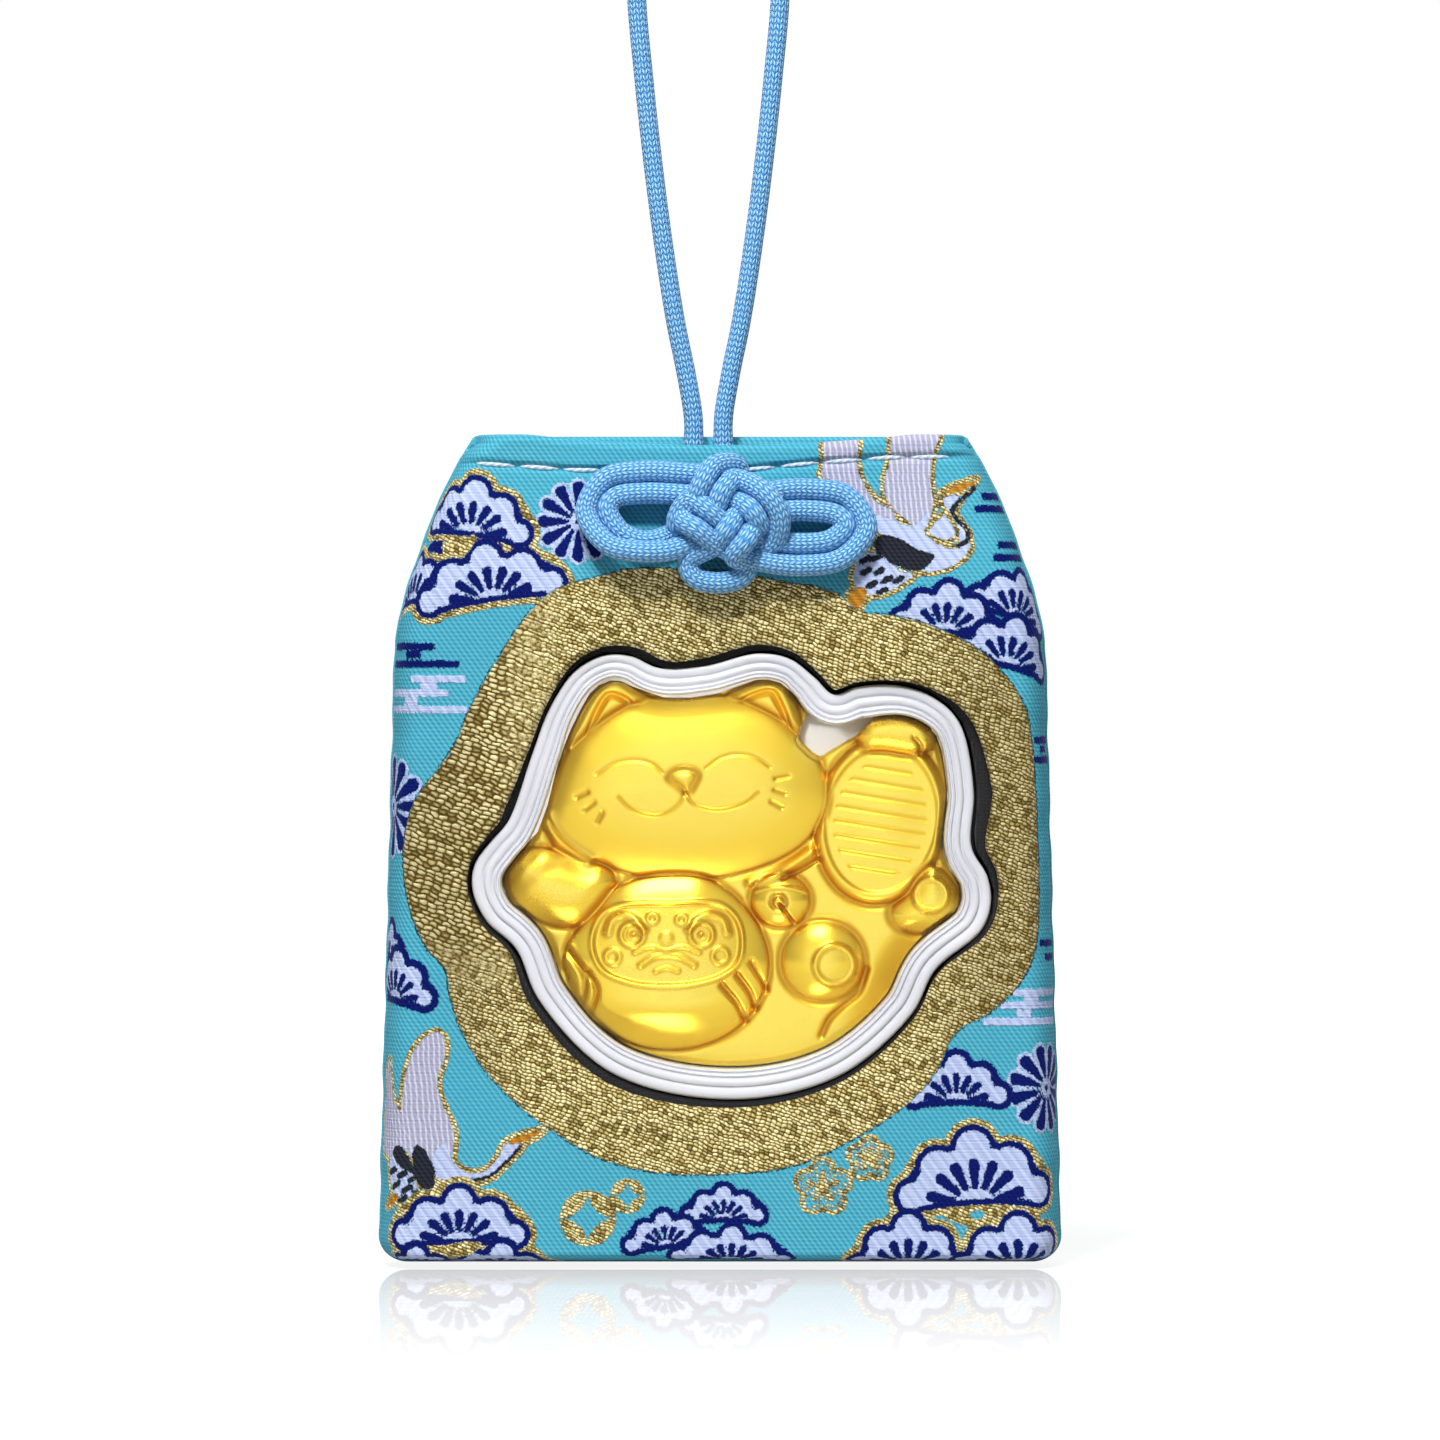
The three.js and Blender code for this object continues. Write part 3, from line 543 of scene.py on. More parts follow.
class Graph:
    """Adds shader nodes to a tree. An input is a socket to link or a plain value to set."""

    def __init__(self, tree):
        self.tree = tree

    def node(self, kind, inputs=None, **settings):
        made = self.tree.nodes.new(kind)
        for key, value in settings.items():
            setattr(made, key, value)
        for key, value in (inputs or {}).items():
            self.put(made.inputs[key], value)
        return made

    def put(self, socket, value):
        if isinstance(value, bpy.types.NodeSocket):
            self.tree.links.new(value, socket)
        else:
            socket.default_value = value

    def math(self, operation, *values):
        return self.node("ShaderNodeMath", dict(enumerate(values)), operation=operation).outputs[0]

    def times(self, first, second):
        return self.math("MULTIPLY", first, second)

    def plus(self, first, second):
        return self.math("ADD", first, second)

    def times_plus(self, value, factor, more):
        return self.math("MULTIPLY_ADD", value, factor, more)

    def vector(self, operation, *values):
        return self.node("ShaderNodeVectorMath", dict(enumerate(values)), operation=operation).outputs[0]

    def mix(self, factor, first, second):
        return self.node("ShaderNodeMix", {0: factor, 6: first, 7: second}, data_type="RGBA").outputs[2]

    def between(self, factor, first, second):
        return self.node("ShaderNodeMix", {0: factor, 2: first, 3: second}).outputs[0]

    def ramp(self, value, low, high, start=0.0, end=1.0):
        inputs = {0: value, 1: low, 2: high, 3: start, 4: end}
        return self.node("ShaderNodeMapRange", inputs).outputs[0]

    def split(self, vector):
        return self.node("ShaderNodeSeparateXYZ", {0: vector}).outputs

    def join(self, x, y, z=0.0):
        return self.node("ShaderNodeCombineXYZ", {0: x, 1: y, 2: z}).outputs[0]

    def wave(self, value):
        """0.5 + 0.5 sin(2 pi value)"""
        return self.times_plus(self.math("SINE", self.times(value, TURN)), 0.5, 0.5)

    def cloth_chart(self):
        return self.node("ShaderNodeUVMap", uv_map="cloth").outputs[0]

    def object_place(self):
        return self.node("ShaderNodeTexCoord").outputs["Object"]

    def number_at(self, name):
        return self.node("ShaderNodeAttribute", attribute_name=name).outputs["Fac"]

    def scatter(self, vector):
        return self.node("ShaderNodeTexWhiteNoise", {"Vector": vector}, noise_dimensions="2D").outputs[0]

    def cloud(self, vector, scale, detail=2.0):
        inputs = {"Vector": vector, "Scale": scale, "Detail": detail}
        return self.node("ShaderNodeTexNoise", inputs).outputs[0]

    def bump(self, height, strength=1.0, distance=MM):
        inputs = {"Height": height, "Strength": strength, "Distance": distance}
        return self.node("ShaderNodeBump", inputs).outputs[0]

    def group(self, shared, inputs):
        return self.node("ShaderNodeGroup", inputs, node_tree=shared).outputs


def shared_group(name, inputs, outputs):
    """Empty node group: its graph and its input and output sockets. Chart and Place are vectors."""
    tree = bpy.data.node_groups.new(name, "ShaderNodeTree")
    for in_out, keys in (("INPUT", inputs), ("OUTPUT", outputs)):
        for key in keys:
            kind = "NodeSocketVector" if key in ("Chart", "Place") else "NodeSocketFloat"
            tree.interface.new_socket(key, in_out=in_out, socket_type=kind)
    graph = Graph(tree)
    return graph, graph.node("NodeGroupInput").outputs, graph.node("NodeGroupOutput").inputs


def woven_threads():
    """Crossing threads on a chart in millimetres: Height sums two sines, Thread differs by crossing."""
    graph, given, result = shared_group(
        "woven_threads", ("Chart", "Warp", "Weft", "Lean"), ("Height", "Thread"))
    across, up, _ = graph.split(given["Chart"])
    row = graph.math("DIVIDE", up, given["Weft"])
    column = graph.times_plus(row, given["Lean"], graph.math("DIVIDE", across, given["Warp"]))
    weft = graph.times(graph.wave(row), 0.4)
    graph.put(result["Height"], graph.times_plus(graph.wave(column), 0.6, weft))
    cell = graph.join(graph.math("FLOOR", column), graph.math("FLOOR", row))
    graph.put(result["Thread"], graph.scatter(cell))
    return graph.tree


def metal_floats():
    """Foil floats in rows that fall to the right, on a chart in millimetres, each row shifted at random.

    Each float has its own Light, a random share that sets its painted glint. Height is the product of a
    round profile across and along the float.
    """
    graph, given, result = shared_group("metal_floats", ("Chart", "Row", "Float"), ("Light", "Height"))
    across, up, _ = graph.split(given["Chart"])
    along = graph.math("SUBTRACT", graph.times(across, 0.94), graph.times(up, 0.34))
    rank = graph.plus(graph.times(across, 0.34), graph.times(up, 0.94))
    rank = graph.times_plus(graph.cloud(given["Chart"], 0.7), 0.7, rank)
    rank = graph.times_plus(graph.cloud(given["Chart"], 2.6), 0.12, rank)
    row = graph.math("DIVIDE", rank, given["Row"])
    line = graph.math("FLOOR", row)
    shift = graph.scatter(graph.join(line, 3.7))
    column = graph.times_plus(shift, 7.0, graph.math("DIVIDE", along, given["Float"]))
    light = graph.scatter(graph.join(graph.math("FLOOR", column), line))
    profiles = []
    for value, power in ((row, 0.9), (column, 0.4)):
        arch = graph.math("SINE", graph.times(graph.math("FRACT", value), np.pi))
        profiles.append(graph.math("POWER", arch, power))
    graph.put(result["Light"], light)
    graph.put(result["Height"], graph.times(*profiles))
    return graph.tree


def fine_grain():
    """Faint unevenness of a plain surface: Grain is fine noise, Drift is slow noise, both about 0.5."""
    graph, given, result = shared_group("fine_grain", ("Place", "Scale"), ("Grain", "Drift"))
    graph.put(result["Grain"], graph.cloud(given["Place"], given["Scale"], 4.0))
    slow = graph.times(given["Scale"], 0.08)
    graph.put(result["Drift"], graph.cloud(given["Place"], slow))
    return graph.tree


WOVEN = woven_threads()
FLOATS = metal_floats()
GRAIN = fine_grain()


def finish_of(name, **plain):
    """New material with its graph and its Principled shader; `plain` sets the shader's own sockets."""
    look = bpy.data.materials.new(name)
    look.use_nodes = True
    shader = look.node_tree.nodes["Principled BSDF"]
    for key, value in plain.items():
        shader.inputs[key.replace("_", " ").title().replace("Ior", "IOR")].default_value = value
    return look, Graph(look.node_tree), shader.inputs


def grain_on(graph, scale):
    """Grain and Drift at the piece's own place."""
    return graph.group(GRAIN, {"Place": graph.object_place(), "Scale": scale})


def grain_finish(name, dark, light, scale, rough, height, **plain):
    """Plain finish with a fine grain in colour, roughness and height."""
    look, graph, shader = finish_of(name, **plain)
    grain = grain_on(graph, scale)
    graph.put(shader["Base Color"], graph.mix(grain["Drift"], dark, light))
    graph.put(shader["Roughness"], graph.ramp(grain["Grain"], 0.3, 0.7, rough - 0.05, rough + 0.05))
    graph.put(shader["Normal"], graph.bump(grain["Grain"], 1.0, height * MM))
    return look


# Threads of the woven figures
THREADS = ("navy", "lilac", "gold", "grey", "black", "umber", "lame")
# Foil weaves: name, pitch of the rows, length of the floats, least painted glint of a float, depth of the
# painted shade in the gaps
FOIL_WEAVES = [
    ("broad", 0.3, 0.46, 0.3, 0.14), ("ribbed", 0.39, 0.8, 0.45, 0.26), ("gold", 0.27, 0.42, 0.16, 0.06),
]


def brocade_finish():
    """Figured silk: a diagonal twill ground, and a coloured thread where its signed distance is negative.

    The edges step with the threads, foil threads are short floats with painted glints and painted shade in
    their gaps, the foil ground has painted shade towards the sides, threads are painted lighter on their
    crowns than in their grooves, and figures stand a little proud.
    """
    look, graph, shader = finish_of("figured_brocade", specular_ior_level=0.14)
    chart = graph.cloth_chart()
    twill = graph.group(WOVEN, {"Chart": chart, "Warp": 0.48, "Weft": 0.34, "Lean": 0.5})
    weft = graph.group(WOVEN, {"Chart": chart, "Warp": 0.9, "Weft": 0.24, "Lean": 0.2})
    across, up, _ = graph.split(chart)
    step = graph.vector("FLOOR", graph.vector("DIVIDE", chart, (0.15, 0.17, 1.0)))
    jag = graph.times_plus(graph.scatter(step), 0.16, -0.08)
    masks = {}
    for thread in THREADS:
        masks[thread] = graph.ramp(graph.plus(graph.number_at(thread), jag), 0.05, -0.03)
    slow = graph.cloud(chart, 0.12)
    # Painted shade of the twill: its crowns are painted lighter and its grooves darker.
    ground = graph.mix(twill["Height"], tint(46, 136, 166), tint(104, 196, 214))
    ground = graph.mix(graph.times(twill["Thread"], 0.22), ground, tint(60, 165, 195))
    ground = graph.mix(graph.ramp(slow, 0.35, 0.7, 0.0, 0.25), ground, tint(70, 172, 200))
    foil, relief = {}, {}
    for weave, row, length, least, gap in FOIL_WEAVES:
        floats = graph.group(FLOATS, {"Chart": chart, "Row": row, "Float": length})
        relief[weave] = floats["Height"]
        # Painted glints on the floats' crowns and painted shade in the gaps between them.
        glint = graph.times(graph.ramp(floats["Light"], 0.0, 0.75, least, 1.05), relief[weave])
        shaded = graph.mix(graph.ramp(glint, gap, gap + 0.36), tint(88, 69, 24), tint(208, 187, 114))
        foil[weave] = graph.mix(graph.ramp(glint, 0.45, 0.92), shaded, tint(253, 241, 188))
    # Painted shade: the foil ground is painted darker towards the pouch's sides.
    painted_side_shade = graph.ramp(graph.math("ABSOLUTE", across), 16.0, 23.0, 0.0, 0.4)
    ribs = graph.times(graph.ramp(across, -13.0, -19.0), graph.ramp(up, 23.0, 28.0))
    slant = graph.math("DIVIDE", graph.times_plus(up, 0.1, across), 0.46)
    streak = graph.wave(graph.plus(graph.cloud(chart, 0.5), slant))
    # The lilac, navy, black and umber threads are painted lighter on their crowns and darker in their
    # grooves: painted shade.
    threads = {
        "lilac": graph.mix(weft["Height"], tint(164, 178, 222), tint(203, 215, 246)),
        "navy": graph.mix(twill["Height"], tint(0, 9, 70), tint(3, 24, 114)),
        "grey": graph.mix(graph.ramp(streak, 0.5, 0.95), tint(166, 167, 192), tint(208, 208, 230)),
        "black": graph.mix(twill["Height"], tint(12, 12, 18), tint(44, 48, 62)),
        "umber": graph.mix(weft["Height"], tint(150, 92, 18), tint(206, 146, 48)),
        "gold": foil["gold"],
        "lame": graph.mix(painted_side_shade, graph.mix(ribs, foil["broad"], foil["ribbed"]), tint(78, 61, 18)),
    }
    colour = ground
    for thread, shade in threads.items():
        colour = graph.mix(masks[thread], colour, shade)
    metal = graph.math("MAXIMUM", masks["lame"], masks["gold"])
    figure = graph.math("MAXIMUM", masks["lilac"], graph.math("MAXIMUM", masks["navy"], masks["grey"]))
    raised = graph.times_plus(figure, 0.05, graph.times(twill["Height"], 0.05))
    rows = graph.between(ribs, relief["broad"], relief["ribbed"])
    lifts = [
        (weft["Height"], figure, 0.03), (rows, masks["lame"], 0.11), (relief["gold"], masks["gold"], 0.12),
    ]
    for height, mask, share in lifts:
        raised = graph.times_plus(graph.times(height, mask), share, raised)
    graph.put(shader["Base Color"], colour)
    graph.put(shader["Metallic"], graph.times(metal, 0.25))
    graph.put(shader["Roughness"], graph.ramp(metal, 0.0, 1.0, 0.72, 0.4))
    graph.put(shader["Normal"], graph.bump(raised, 0.9))
    return look


def lining_finish():
    """Black cloth: crossing threads in height, with painted shade that darkens their low parts."""
    look, graph, shader = finish_of("black_lining", roughness=0.85, sheen_weight=0.1)
    chart = graph.cloth_chart()
    weave = graph.group(WOVEN, {"Chart": chart, "Warp": 0.3, "Weft": 0.3, "Lean": 0.0})
    graph.put(shader["Base Color"], graph.mix(weave["Height"], tint(8, 8, 10), tint(26, 26, 30)))
    graph.put(shader["Normal"], graph.bump(graph.times(weave["Height"], 0.05)))
    return look


BRAID_COLUMNS = 18
BRAID_PITCH = 0.52


def braid_finish():
    """Round braid: columns of stitches round the cord that lean left and right by turns, as rows of Vs.

    Height is sin(pi column) ^ 0.5 times |sin(pi (along / pitch + lean))| ^ 0.6.
    """
    look, graph, shader = finish_of(
        "sky_blue_braid", roughness=0.62, sheen_weight=0.1, sheen_roughness=0.35)
    chart = graph.cloth_chart()
    turn, along, _ = graph.split(chart)
    column = graph.times(turn, BRAID_COLUMNS)
    inside = graph.math("FRACT", column)
    hand = graph.times_plus(graph.math("MODULO", graph.math("FLOOR", column), 2.0), 2.0, -1.0)
    lean = graph.times(graph.times_plus(inside, 0.6, -0.3), hand)
    stitch = graph.plus(graph.math("DIVIDE", along, BRAID_PITCH), lean)
    lengthwise = graph.math("ABSOLUTE", graph.math("SINE", graph.times(stitch, np.pi)))
    crosswise = graph.math("SINE", graph.times(inside, np.pi))
    height = graph.times(graph.math("POWER", lengthwise, 0.6), graph.math("POWER", crosswise, 0.5))
    fleck = graph.scatter(graph.join(graph.math("FLOOR", column), graph.math("FLOOR", stitch)))
    # Painted shade in the grooves between stitches and painted highlights on their crowns.
    deep = graph.mix(graph.ramp(height, 0.1, 0.75), tint(50, 130, 205), tint(112, 186, 242))
    pale = graph.mix(graph.ramp(height, 0.6, 0.95), deep, tint(186, 227, 251))
    graph.put(shader["Base Color"], graph.mix(graph.times(fleck, 0.35), pale, tint(98, 175, 237)))
    graph.put(shader["Normal"], graph.bump(graph.times(height, 0.14), 0.9))
    return look


def thread_finish():
    """Twisted sewing thread: slanting plies round the stitch."""
    look, graph, shader = finish_of("white_thread", roughness=0.55, sheen_weight=0.2)
    chart = graph.cloth_chart()
    turn, along, _ = graph.split(chart)
    ply = graph.wave(graph.plus(graph.times(turn, 2.0), graph.math("DIVIDE", along, 0.7)))
    # Painted shade between the plies: the thread is painted darker in the twist's grooves.
    graph.put(shader["Base Color"], graph.mix(ply, tint(190, 214, 236), tint(236, 242, 252)))
    graph.put(shader["Normal"], graph.bump(graph.times(ply, 0.05)))
    return look


def gold_finish():
    """Pressed foil: satin metal with a faint grain and polished shapes, with painted shade in its creases
    and on its steeper slopes.
    """
    look, graph, shader = finish_of("pressed_gold", metallic=1.0, coat_weight=0.35, coat_roughness=0.25)
    crease_shade, slope_shade, polish = (graph.number_at(name) for name in ("crease_shade", "slope_shade", "polish"))
    grain = grain_on(graph, 9000.0)
    plain = graph.mix(grain["Drift"], (0.98, 0.76, 0.1, 1), (1.0, 0.81, 0.13, 1))
    plain = graph.mix(graph.ramp(grain["Grain"], 0.5, 0.3, 0.0, 0.35), plain, (0.8, 0.48, 0.02, 1))
    # Painted shade: steeper slopes are painted a deeper amber.
    plain = graph.mix(graph.ramp(slope_shade, 0.0, 0.05), plain, (0.95, 0.66, 0.05, 1))
    plain = graph.mix(graph.ramp(slope_shade, 0.06, 0.5, 0.0, 0.85), plain, (0.85, 0.42, 0.006, 1))
    # Painted shade in the creases and beside raised lines.
    graph.put(shader["Base Color"], graph.mix(graph.times(crease_shade, 0.8), plain, (0.52, 0.25, 0.005, 1)))
    satin = graph.ramp(grain["Grain"], 0.3, 0.7, 0.28, 0.4)
    satin = graph.times(satin, graph.ramp(polish, 0.0, 1.0, 1.0, 0.55))
    graph.put(shader["Roughness"], graph.times_plus(crease_shade, 0.15, satin))
    graph.put(shader["Normal"], graph.bump(grain["Grain"], 0.5, 0.01 * MM))
    return look


def window_finish():
    """Clear moulding: nearly all see-through, with a plain gloss."""
    look, graph, shader = finish_of("clear_window", roughness=0.04, alpha=0.04)
    drift = grain_on(graph, 900.0)["Drift"]
    graph.put(shader["Base Color"], graph.mix(drift, tint(60, 62, 64), tint(76, 78, 82)))
    return look


BROCADE = brocade_finish()
LINING = lining_finish()
BRAID = braid_finish()
THREAD = thread_finish()
GOLD = gold_finish()
CLEAR = window_finish()
RIM = grain_finish(
    "white_rim", tint(206, 207, 214), tint(232, 232, 238), 1500.0, 0.16, 0.004, coat_weight=0.4)
TRAY = grain_finish("white_tray", tint(222, 222, 224), tint(240, 240, 240), 1500.0, 0.35, 0.006)
CARD = grain_finish("white_card", tint(236, 236, 236), tint(248, 248, 248), 5000.0, 0.85, 0.02)
BOARD = grain_finish("black_board", tint(16, 16, 18), tint(36, 36, 40), 4000.0, 0.75, 0.03)


# Camera


def camera():
    """Level view of the front, from VIEW_DISTANCE before the front cloth."""
    lens = bpy.data.cameras.new("camera")
    lens.sensor_width = 36.0
    lens.lens = lens.sensor_width * VIEW_DISTANCE / PICTURE_WIDTH
    lens.clip_start = 0.01
    made = add("camera", lens)
    across, up = PICTURE_MIDDLE
    made.location = place((across, -HALF_DEPTH - VIEW_DISTANCE, up))
    made.rotation_euler = (np.pi / 2, 0, 0)
    bpy.context.scene.camera = made


# Cords


def strand_ends():
    """Where the two strands pass from the mouth down into the pouch."""
    return [np.array([LOOP_SHIFT + side * STRAND_SPREAD, 0.0, CORD_END]) for side in (-1, 1)]


def hanging_route():
    """Left end in the mouth, up and over the top of the loop, and down to the right end."""
    half = np.array(LOOP_HALF)
    x, z = half[:, 0], SWING_AXIS + half[:, 1] * LOOP_HEIGHT
    left = np.stack([LOOP_SHIFT - x, 0 * x, z], axis=1)
    right = np.stack([LOOP_SHIFT + x, 0 * x, z], axis=1)[::-1]
    top = np.array([[LOOP_SHIFT, 0, SWING_AXIS + LOOP_HEIGHT]])
    first, last = strand_ends()
    return np.concatenate([first[None], left, top, right, last[None]])


def hanging_cord():
    """The taut loop over the mouth as one round tube, a little thicker at its slack ends."""
    path = spline(hanging_route(), LOOP_STEPS)
    share = np.linspace(0, 1, len(path))
    ease = smoothstep(0, 0.02, np.minimum(share, share[::-1]))
    radius = (SLACK_CORD + (TAUT_CORD - SLACK_CORD) * ease) / 2
    made = piece("hanging_cord", [tube(path, radius, CORD_SIDES)], BRAID, weld=True)
    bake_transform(made)
    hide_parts("hanging_loop")


def knot_strand(offset):
    """The knot's pass moved sideways by `offset` along the cloth, or towards the viewer by its lean."""
    x, z, lift, lean = np.array(KNOT_PASS, float).T
    lean = np.radians(lean)
    step = np.gradient(np.stack([x, z], axis=1), axis=0)
    step[0], step[-1] = (x[1] - x[0], z[1] - z[0]), (x[-1] - x[-2], z[-1] - z[-2])
    run = np.linalg.norm(step, axis=1)
    flat = offset * np.cos(lean) / run
    return np.stack([x - step[:, 1] * flat, z + step[:, 0] * flat, lift + offset * np.sin(lean)], axis=1)


def knot_route():
    """Left end in the mouth, out through the cloth, round the knot and its turn, back to the right end."""
    knot = np.concatenate([
        knot_strand(PAIR_PITCH / 2), np.array(KNOT_TURN, float), knot_strand(-PAIR_PITCH / 2)[::-1],
    ])
    x, z = KNOT_MIDDLE[0] + knot[:, 0], KNOT_MIDDLE[1] + knot[:, 1]
    points = np.stack([x, -half_depth(z) - knot[:, 2], z], axis=1)
    radius = SLACK_CORD / 2
    low = MOUTH - STRAND_DROP - radius
    first, last = strand_ends()
    inside = [(first[0] + radius, -radius / 2, low), (last[0] + radius / 2, -radius / 2, low)]
    return np.concatenate([first[None], inside[:1], points, inside[1:], last[None]])


def knot():
    """The knotted cord as one round tube."""
    path = spline(knot_route(), KNOT_STEPS)
    cord = tube(path, np.full(len(path), SLACK_CORD / 2), CORD_SIDES)
    made = piece("knot", [cord], BRAID, weld=True)
    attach(made, "pouch")
    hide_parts("knot_cord")


# Woven figures: signed distances in millimetres on the cloth's chart, negative inside

FAR = 9.0
NOWHERE = 1e3
MIST_HALF = 0.3
PETALS = 12
NEEDLES = (14, 42, 66, 90, 114, 138, 166)  # directions in degrees
# Lobes of a pine cloud: across and up as shares of its half-width and height, and radius
LOBES = [(0, 0.76, 0.23), (0.47, 0.52, 0.24), (0.83, 0.19, 0.18)]
LAP = 0.07  # a covered thread runs on under the next by this much


def from_straight(u, v, start, end):
    """Distance to a straight piece, and the share of it at which the nearest place lies."""
    (ax, az), (bx, bz) = start, end
    dx, dz = bx - ax, bz - az
    t = np.clip(((u - ax) * dx + (v - az) * dz) / (dx * dx + dz * dz), 0, 1)
    return np.hypot(u - ax - t * dx, v - az - t * dz), t


def line_distance(u, v, points):
    """Distance to an open line of straight pieces."""
    points = np.asarray(points, float)
    nearest = np.full(u.shape, NOWHERE)
    for start, end in zip(points[:-1], points[1:]):
        nearest = np.minimum(nearest, from_straight(u, v, start, end)[0])
    return nearest


def area(u, v, points):
    """Signed distance to a closed outline, rounded through its points; inside by crossing count."""
    ring = spline(points, 8 * len(points), closed=True)
    ring = np.concatenate([ring, ring[:1]])
    inside = np.zeros(u.shape, bool)
    for (ax, az), (bx, bz) in zip(ring[:-1], ring[1:]):
        if az != bz:
            inside ^= ((az > v) != (bz > v)) & (u < (bx - ax) * (v - az) / (bz - az) + ax)
    edge = line_distance(u, v, ring)
    return np.where(inside, -edge, edge)


def taper(u, v, start, end, start_radius, end_radius):
    """Signed distance to a straight stroke whose half-width runs from one radius to the other."""
    away, t = from_straight(u, v, start, end)
    return away - start_radius - (end_radius - start_radius) * t


def turned(u, v, degrees):
    """Places as read on axes turned anticlockwise by `degrees`."""
    c, s = math.cos(math.radians(degrees)), math.sin(math.radians(degrees))
    return u * c + v * s, v * c - u * s


def pine_cloud(u, v, x, z, width, height, lean):
    """Pine foliage: five round lobes over an ellipse that is cut along a low arch."""
    a, b = turned(u - x, v - z, lean)
    half, mean = width / 2, math.sqrt(width * height / 2)
    arch = 0.1 * height * (1 - (a / half) ** 2)
    ellipse = (np.hypot(a / (0.8 * half), (b - 0.25 * height) / (0.52 * height)) - 1) * 0.5 * height
    cloud = np.maximum(ellipse, arch - b)
    for across, up, radius in LOBES:
        for hand in (-1, 1):
            lobe = np.hypot(a - hand * across * half, b - up * height) - radius * mean
            cloud = np.minimum(cloud, lobe)
    return cloud


def pine_needles(u, v, x, z, width, height, lean):
    """Fan of tapering strokes about the middle of the foliage's base."""
    a, b = turned(u - x, v - z, lean)
    spread = math.sqrt(width / 2 / height)
    thick = 0.057 * math.sqrt(width * height / 2)
    fan = np.full(u.shape, FAR)
    for angle in NEEDLES:
        c = math.cos(math.radians(angle)) * spread * height
        s = math.sin(math.radians(angle)) * height
        root, tip = (0.3 * c, 0.22 * s), (0.58 * c, 0.5 * s)
        fan = np.minimum(fan, taper(a, b - 0.05 * height, root, tip, 0.75 * thick, 1.3 * thick))
    return fan


def chrysanthemum(u, v, x, z, radius, turn):
    """Ring of round-ended petals that widen outwards: one stroke, repeated by folding the angle."""
    angle = np.arctan2(v - z, u - x) - math.radians(turn)
    away = np.hypot(u - x, v - z)
    fold = (angle + np.pi / PETALS) % (TURN / PETALS) - np.pi / PETALS
    a, b = away * np.cos(fold), away * np.sin(fold)
    return taper(a, b, (0.24 * radius, 0), (0.85 * radius, 0), 0.04 * radius, 0.145 * radius)


class Weaving:
    """Signed distance from each point of the cloth to each thread's figures; later ones cover earlier."""

    def __init__(self, u, v):
        self.u, self.v = u, v
        self.threads = {thread: np.full(u.shape, FAR) for thread in THREADS}

    def disc(self, x, z, radius):
        return np.hypot(self.u - x, self.v - z) - radius

    def weave(self, thread, distance):
        for name, old in self.threads.items():
            covered = np.maximum(old, -distance - LAP)
            self.threads[name] = np.minimum(old, distance) if name == thread else covered

    def uncover(self, distance):
        """Bare ground within a figure."""
        for name, old in self.threads.items():
            self.threads[name] = np.maximum(old, -distance)

    def pines(self, clouds, gilded, edge=0.52):
        """Pine clouds with a navy edge, over one another in order, with foil round them all if `gilded`."""
        shapes = [pine_cloud(self.u, self.v, *cloud) for cloud in clouds]
        if gilded:
            self.weave("gold", np.minimum.reduce(shapes) - edge - 0.43)
        for cloud, shape in zip(clouds, shapes):
            self.weave("navy", shape - edge)
            self.weave("lilac", shape)
            self.weave("navy", pine_needles(self.u, self.v, *cloud))

    def flower(self, x, z, radius, turn=0):
        """Chrysanthemum: navy petals and eye on a lilac ground that runs round them."""
        petals = chrysanthemum(self.u, self.v, x, z, radius, turn)
        self.weave("lilac", np.minimum(petals - 0.26, self.disc(x, z, 0.22 * radius)))
        self.weave("navy", petals)
        self.weave("navy", self.disc(x, z, 0.07 * radius))

    def mist(self, thread, bars):
        """Level bars of mist as long flat boxes: left end, right end and height."""
        for left, right, height in bars:
            beyond = np.abs(self.u - (left + right) / 2) - (right - left) / 2
            self.weave(thread, np.maximum(beyond, np.abs(self.v - height) - MIST_HALF))

    def linked_ring(self, x, z, radius):
        """Ring of four lens shapes: a disc where it meets four like discs about its corners."""
        corners = [(x + hand * radius, z + foot * radius) for hand in (-1, 1) for foot in (-1, 1)]
        others = np.minimum.reduce([self.disc(*corner, radius) for corner in corners])
        self.weave("gold", np.maximum(self.disc(x, z, radius), others))

    def plum(self, x, z, radius):
        """Five round petals drawn in foil outline, with stamens about the middle."""
        blossom = np.full(self.u.shape, FAR)
        stamens = np.full(self.u.shape, FAR)
        for petal in range(5):
            angle = TURN * petal / 5 + np.pi / 2
            c, s = math.cos(angle), math.sin(angle)
            lobe = self.disc(x + 0.55 * radius * c, z + 0.55 * radius * s, 0.48 * radius)
            blossom = np.minimum(blossom, lobe)
            tip = (x + 0.5 * radius * c, z + 0.5 * radius * s)
            stamens = np.minimum(stamens, taper(self.u, self.v, (x, z), tip, 0.12, 0.24))
        self.weave("gold", np.abs(blossom + 0.14) - 0.2)
        self.weave("gold", np.abs(blossom + 0.24 * radius) - 0.07)
        self.weave("gold", stamens)

    def crane(self, parts):
        """Flying crane: a foil outline round everything, then each part in its own thread, in order."""
        shapes = [(thread, area(self.u, self.v, points)) for thread, points in parts]
        self.weave("gold", np.minimum.reduce([shape for _, shape in shapes]) - 0.34)
        for thread, shape in shapes:
            self.weave(thread, shape)


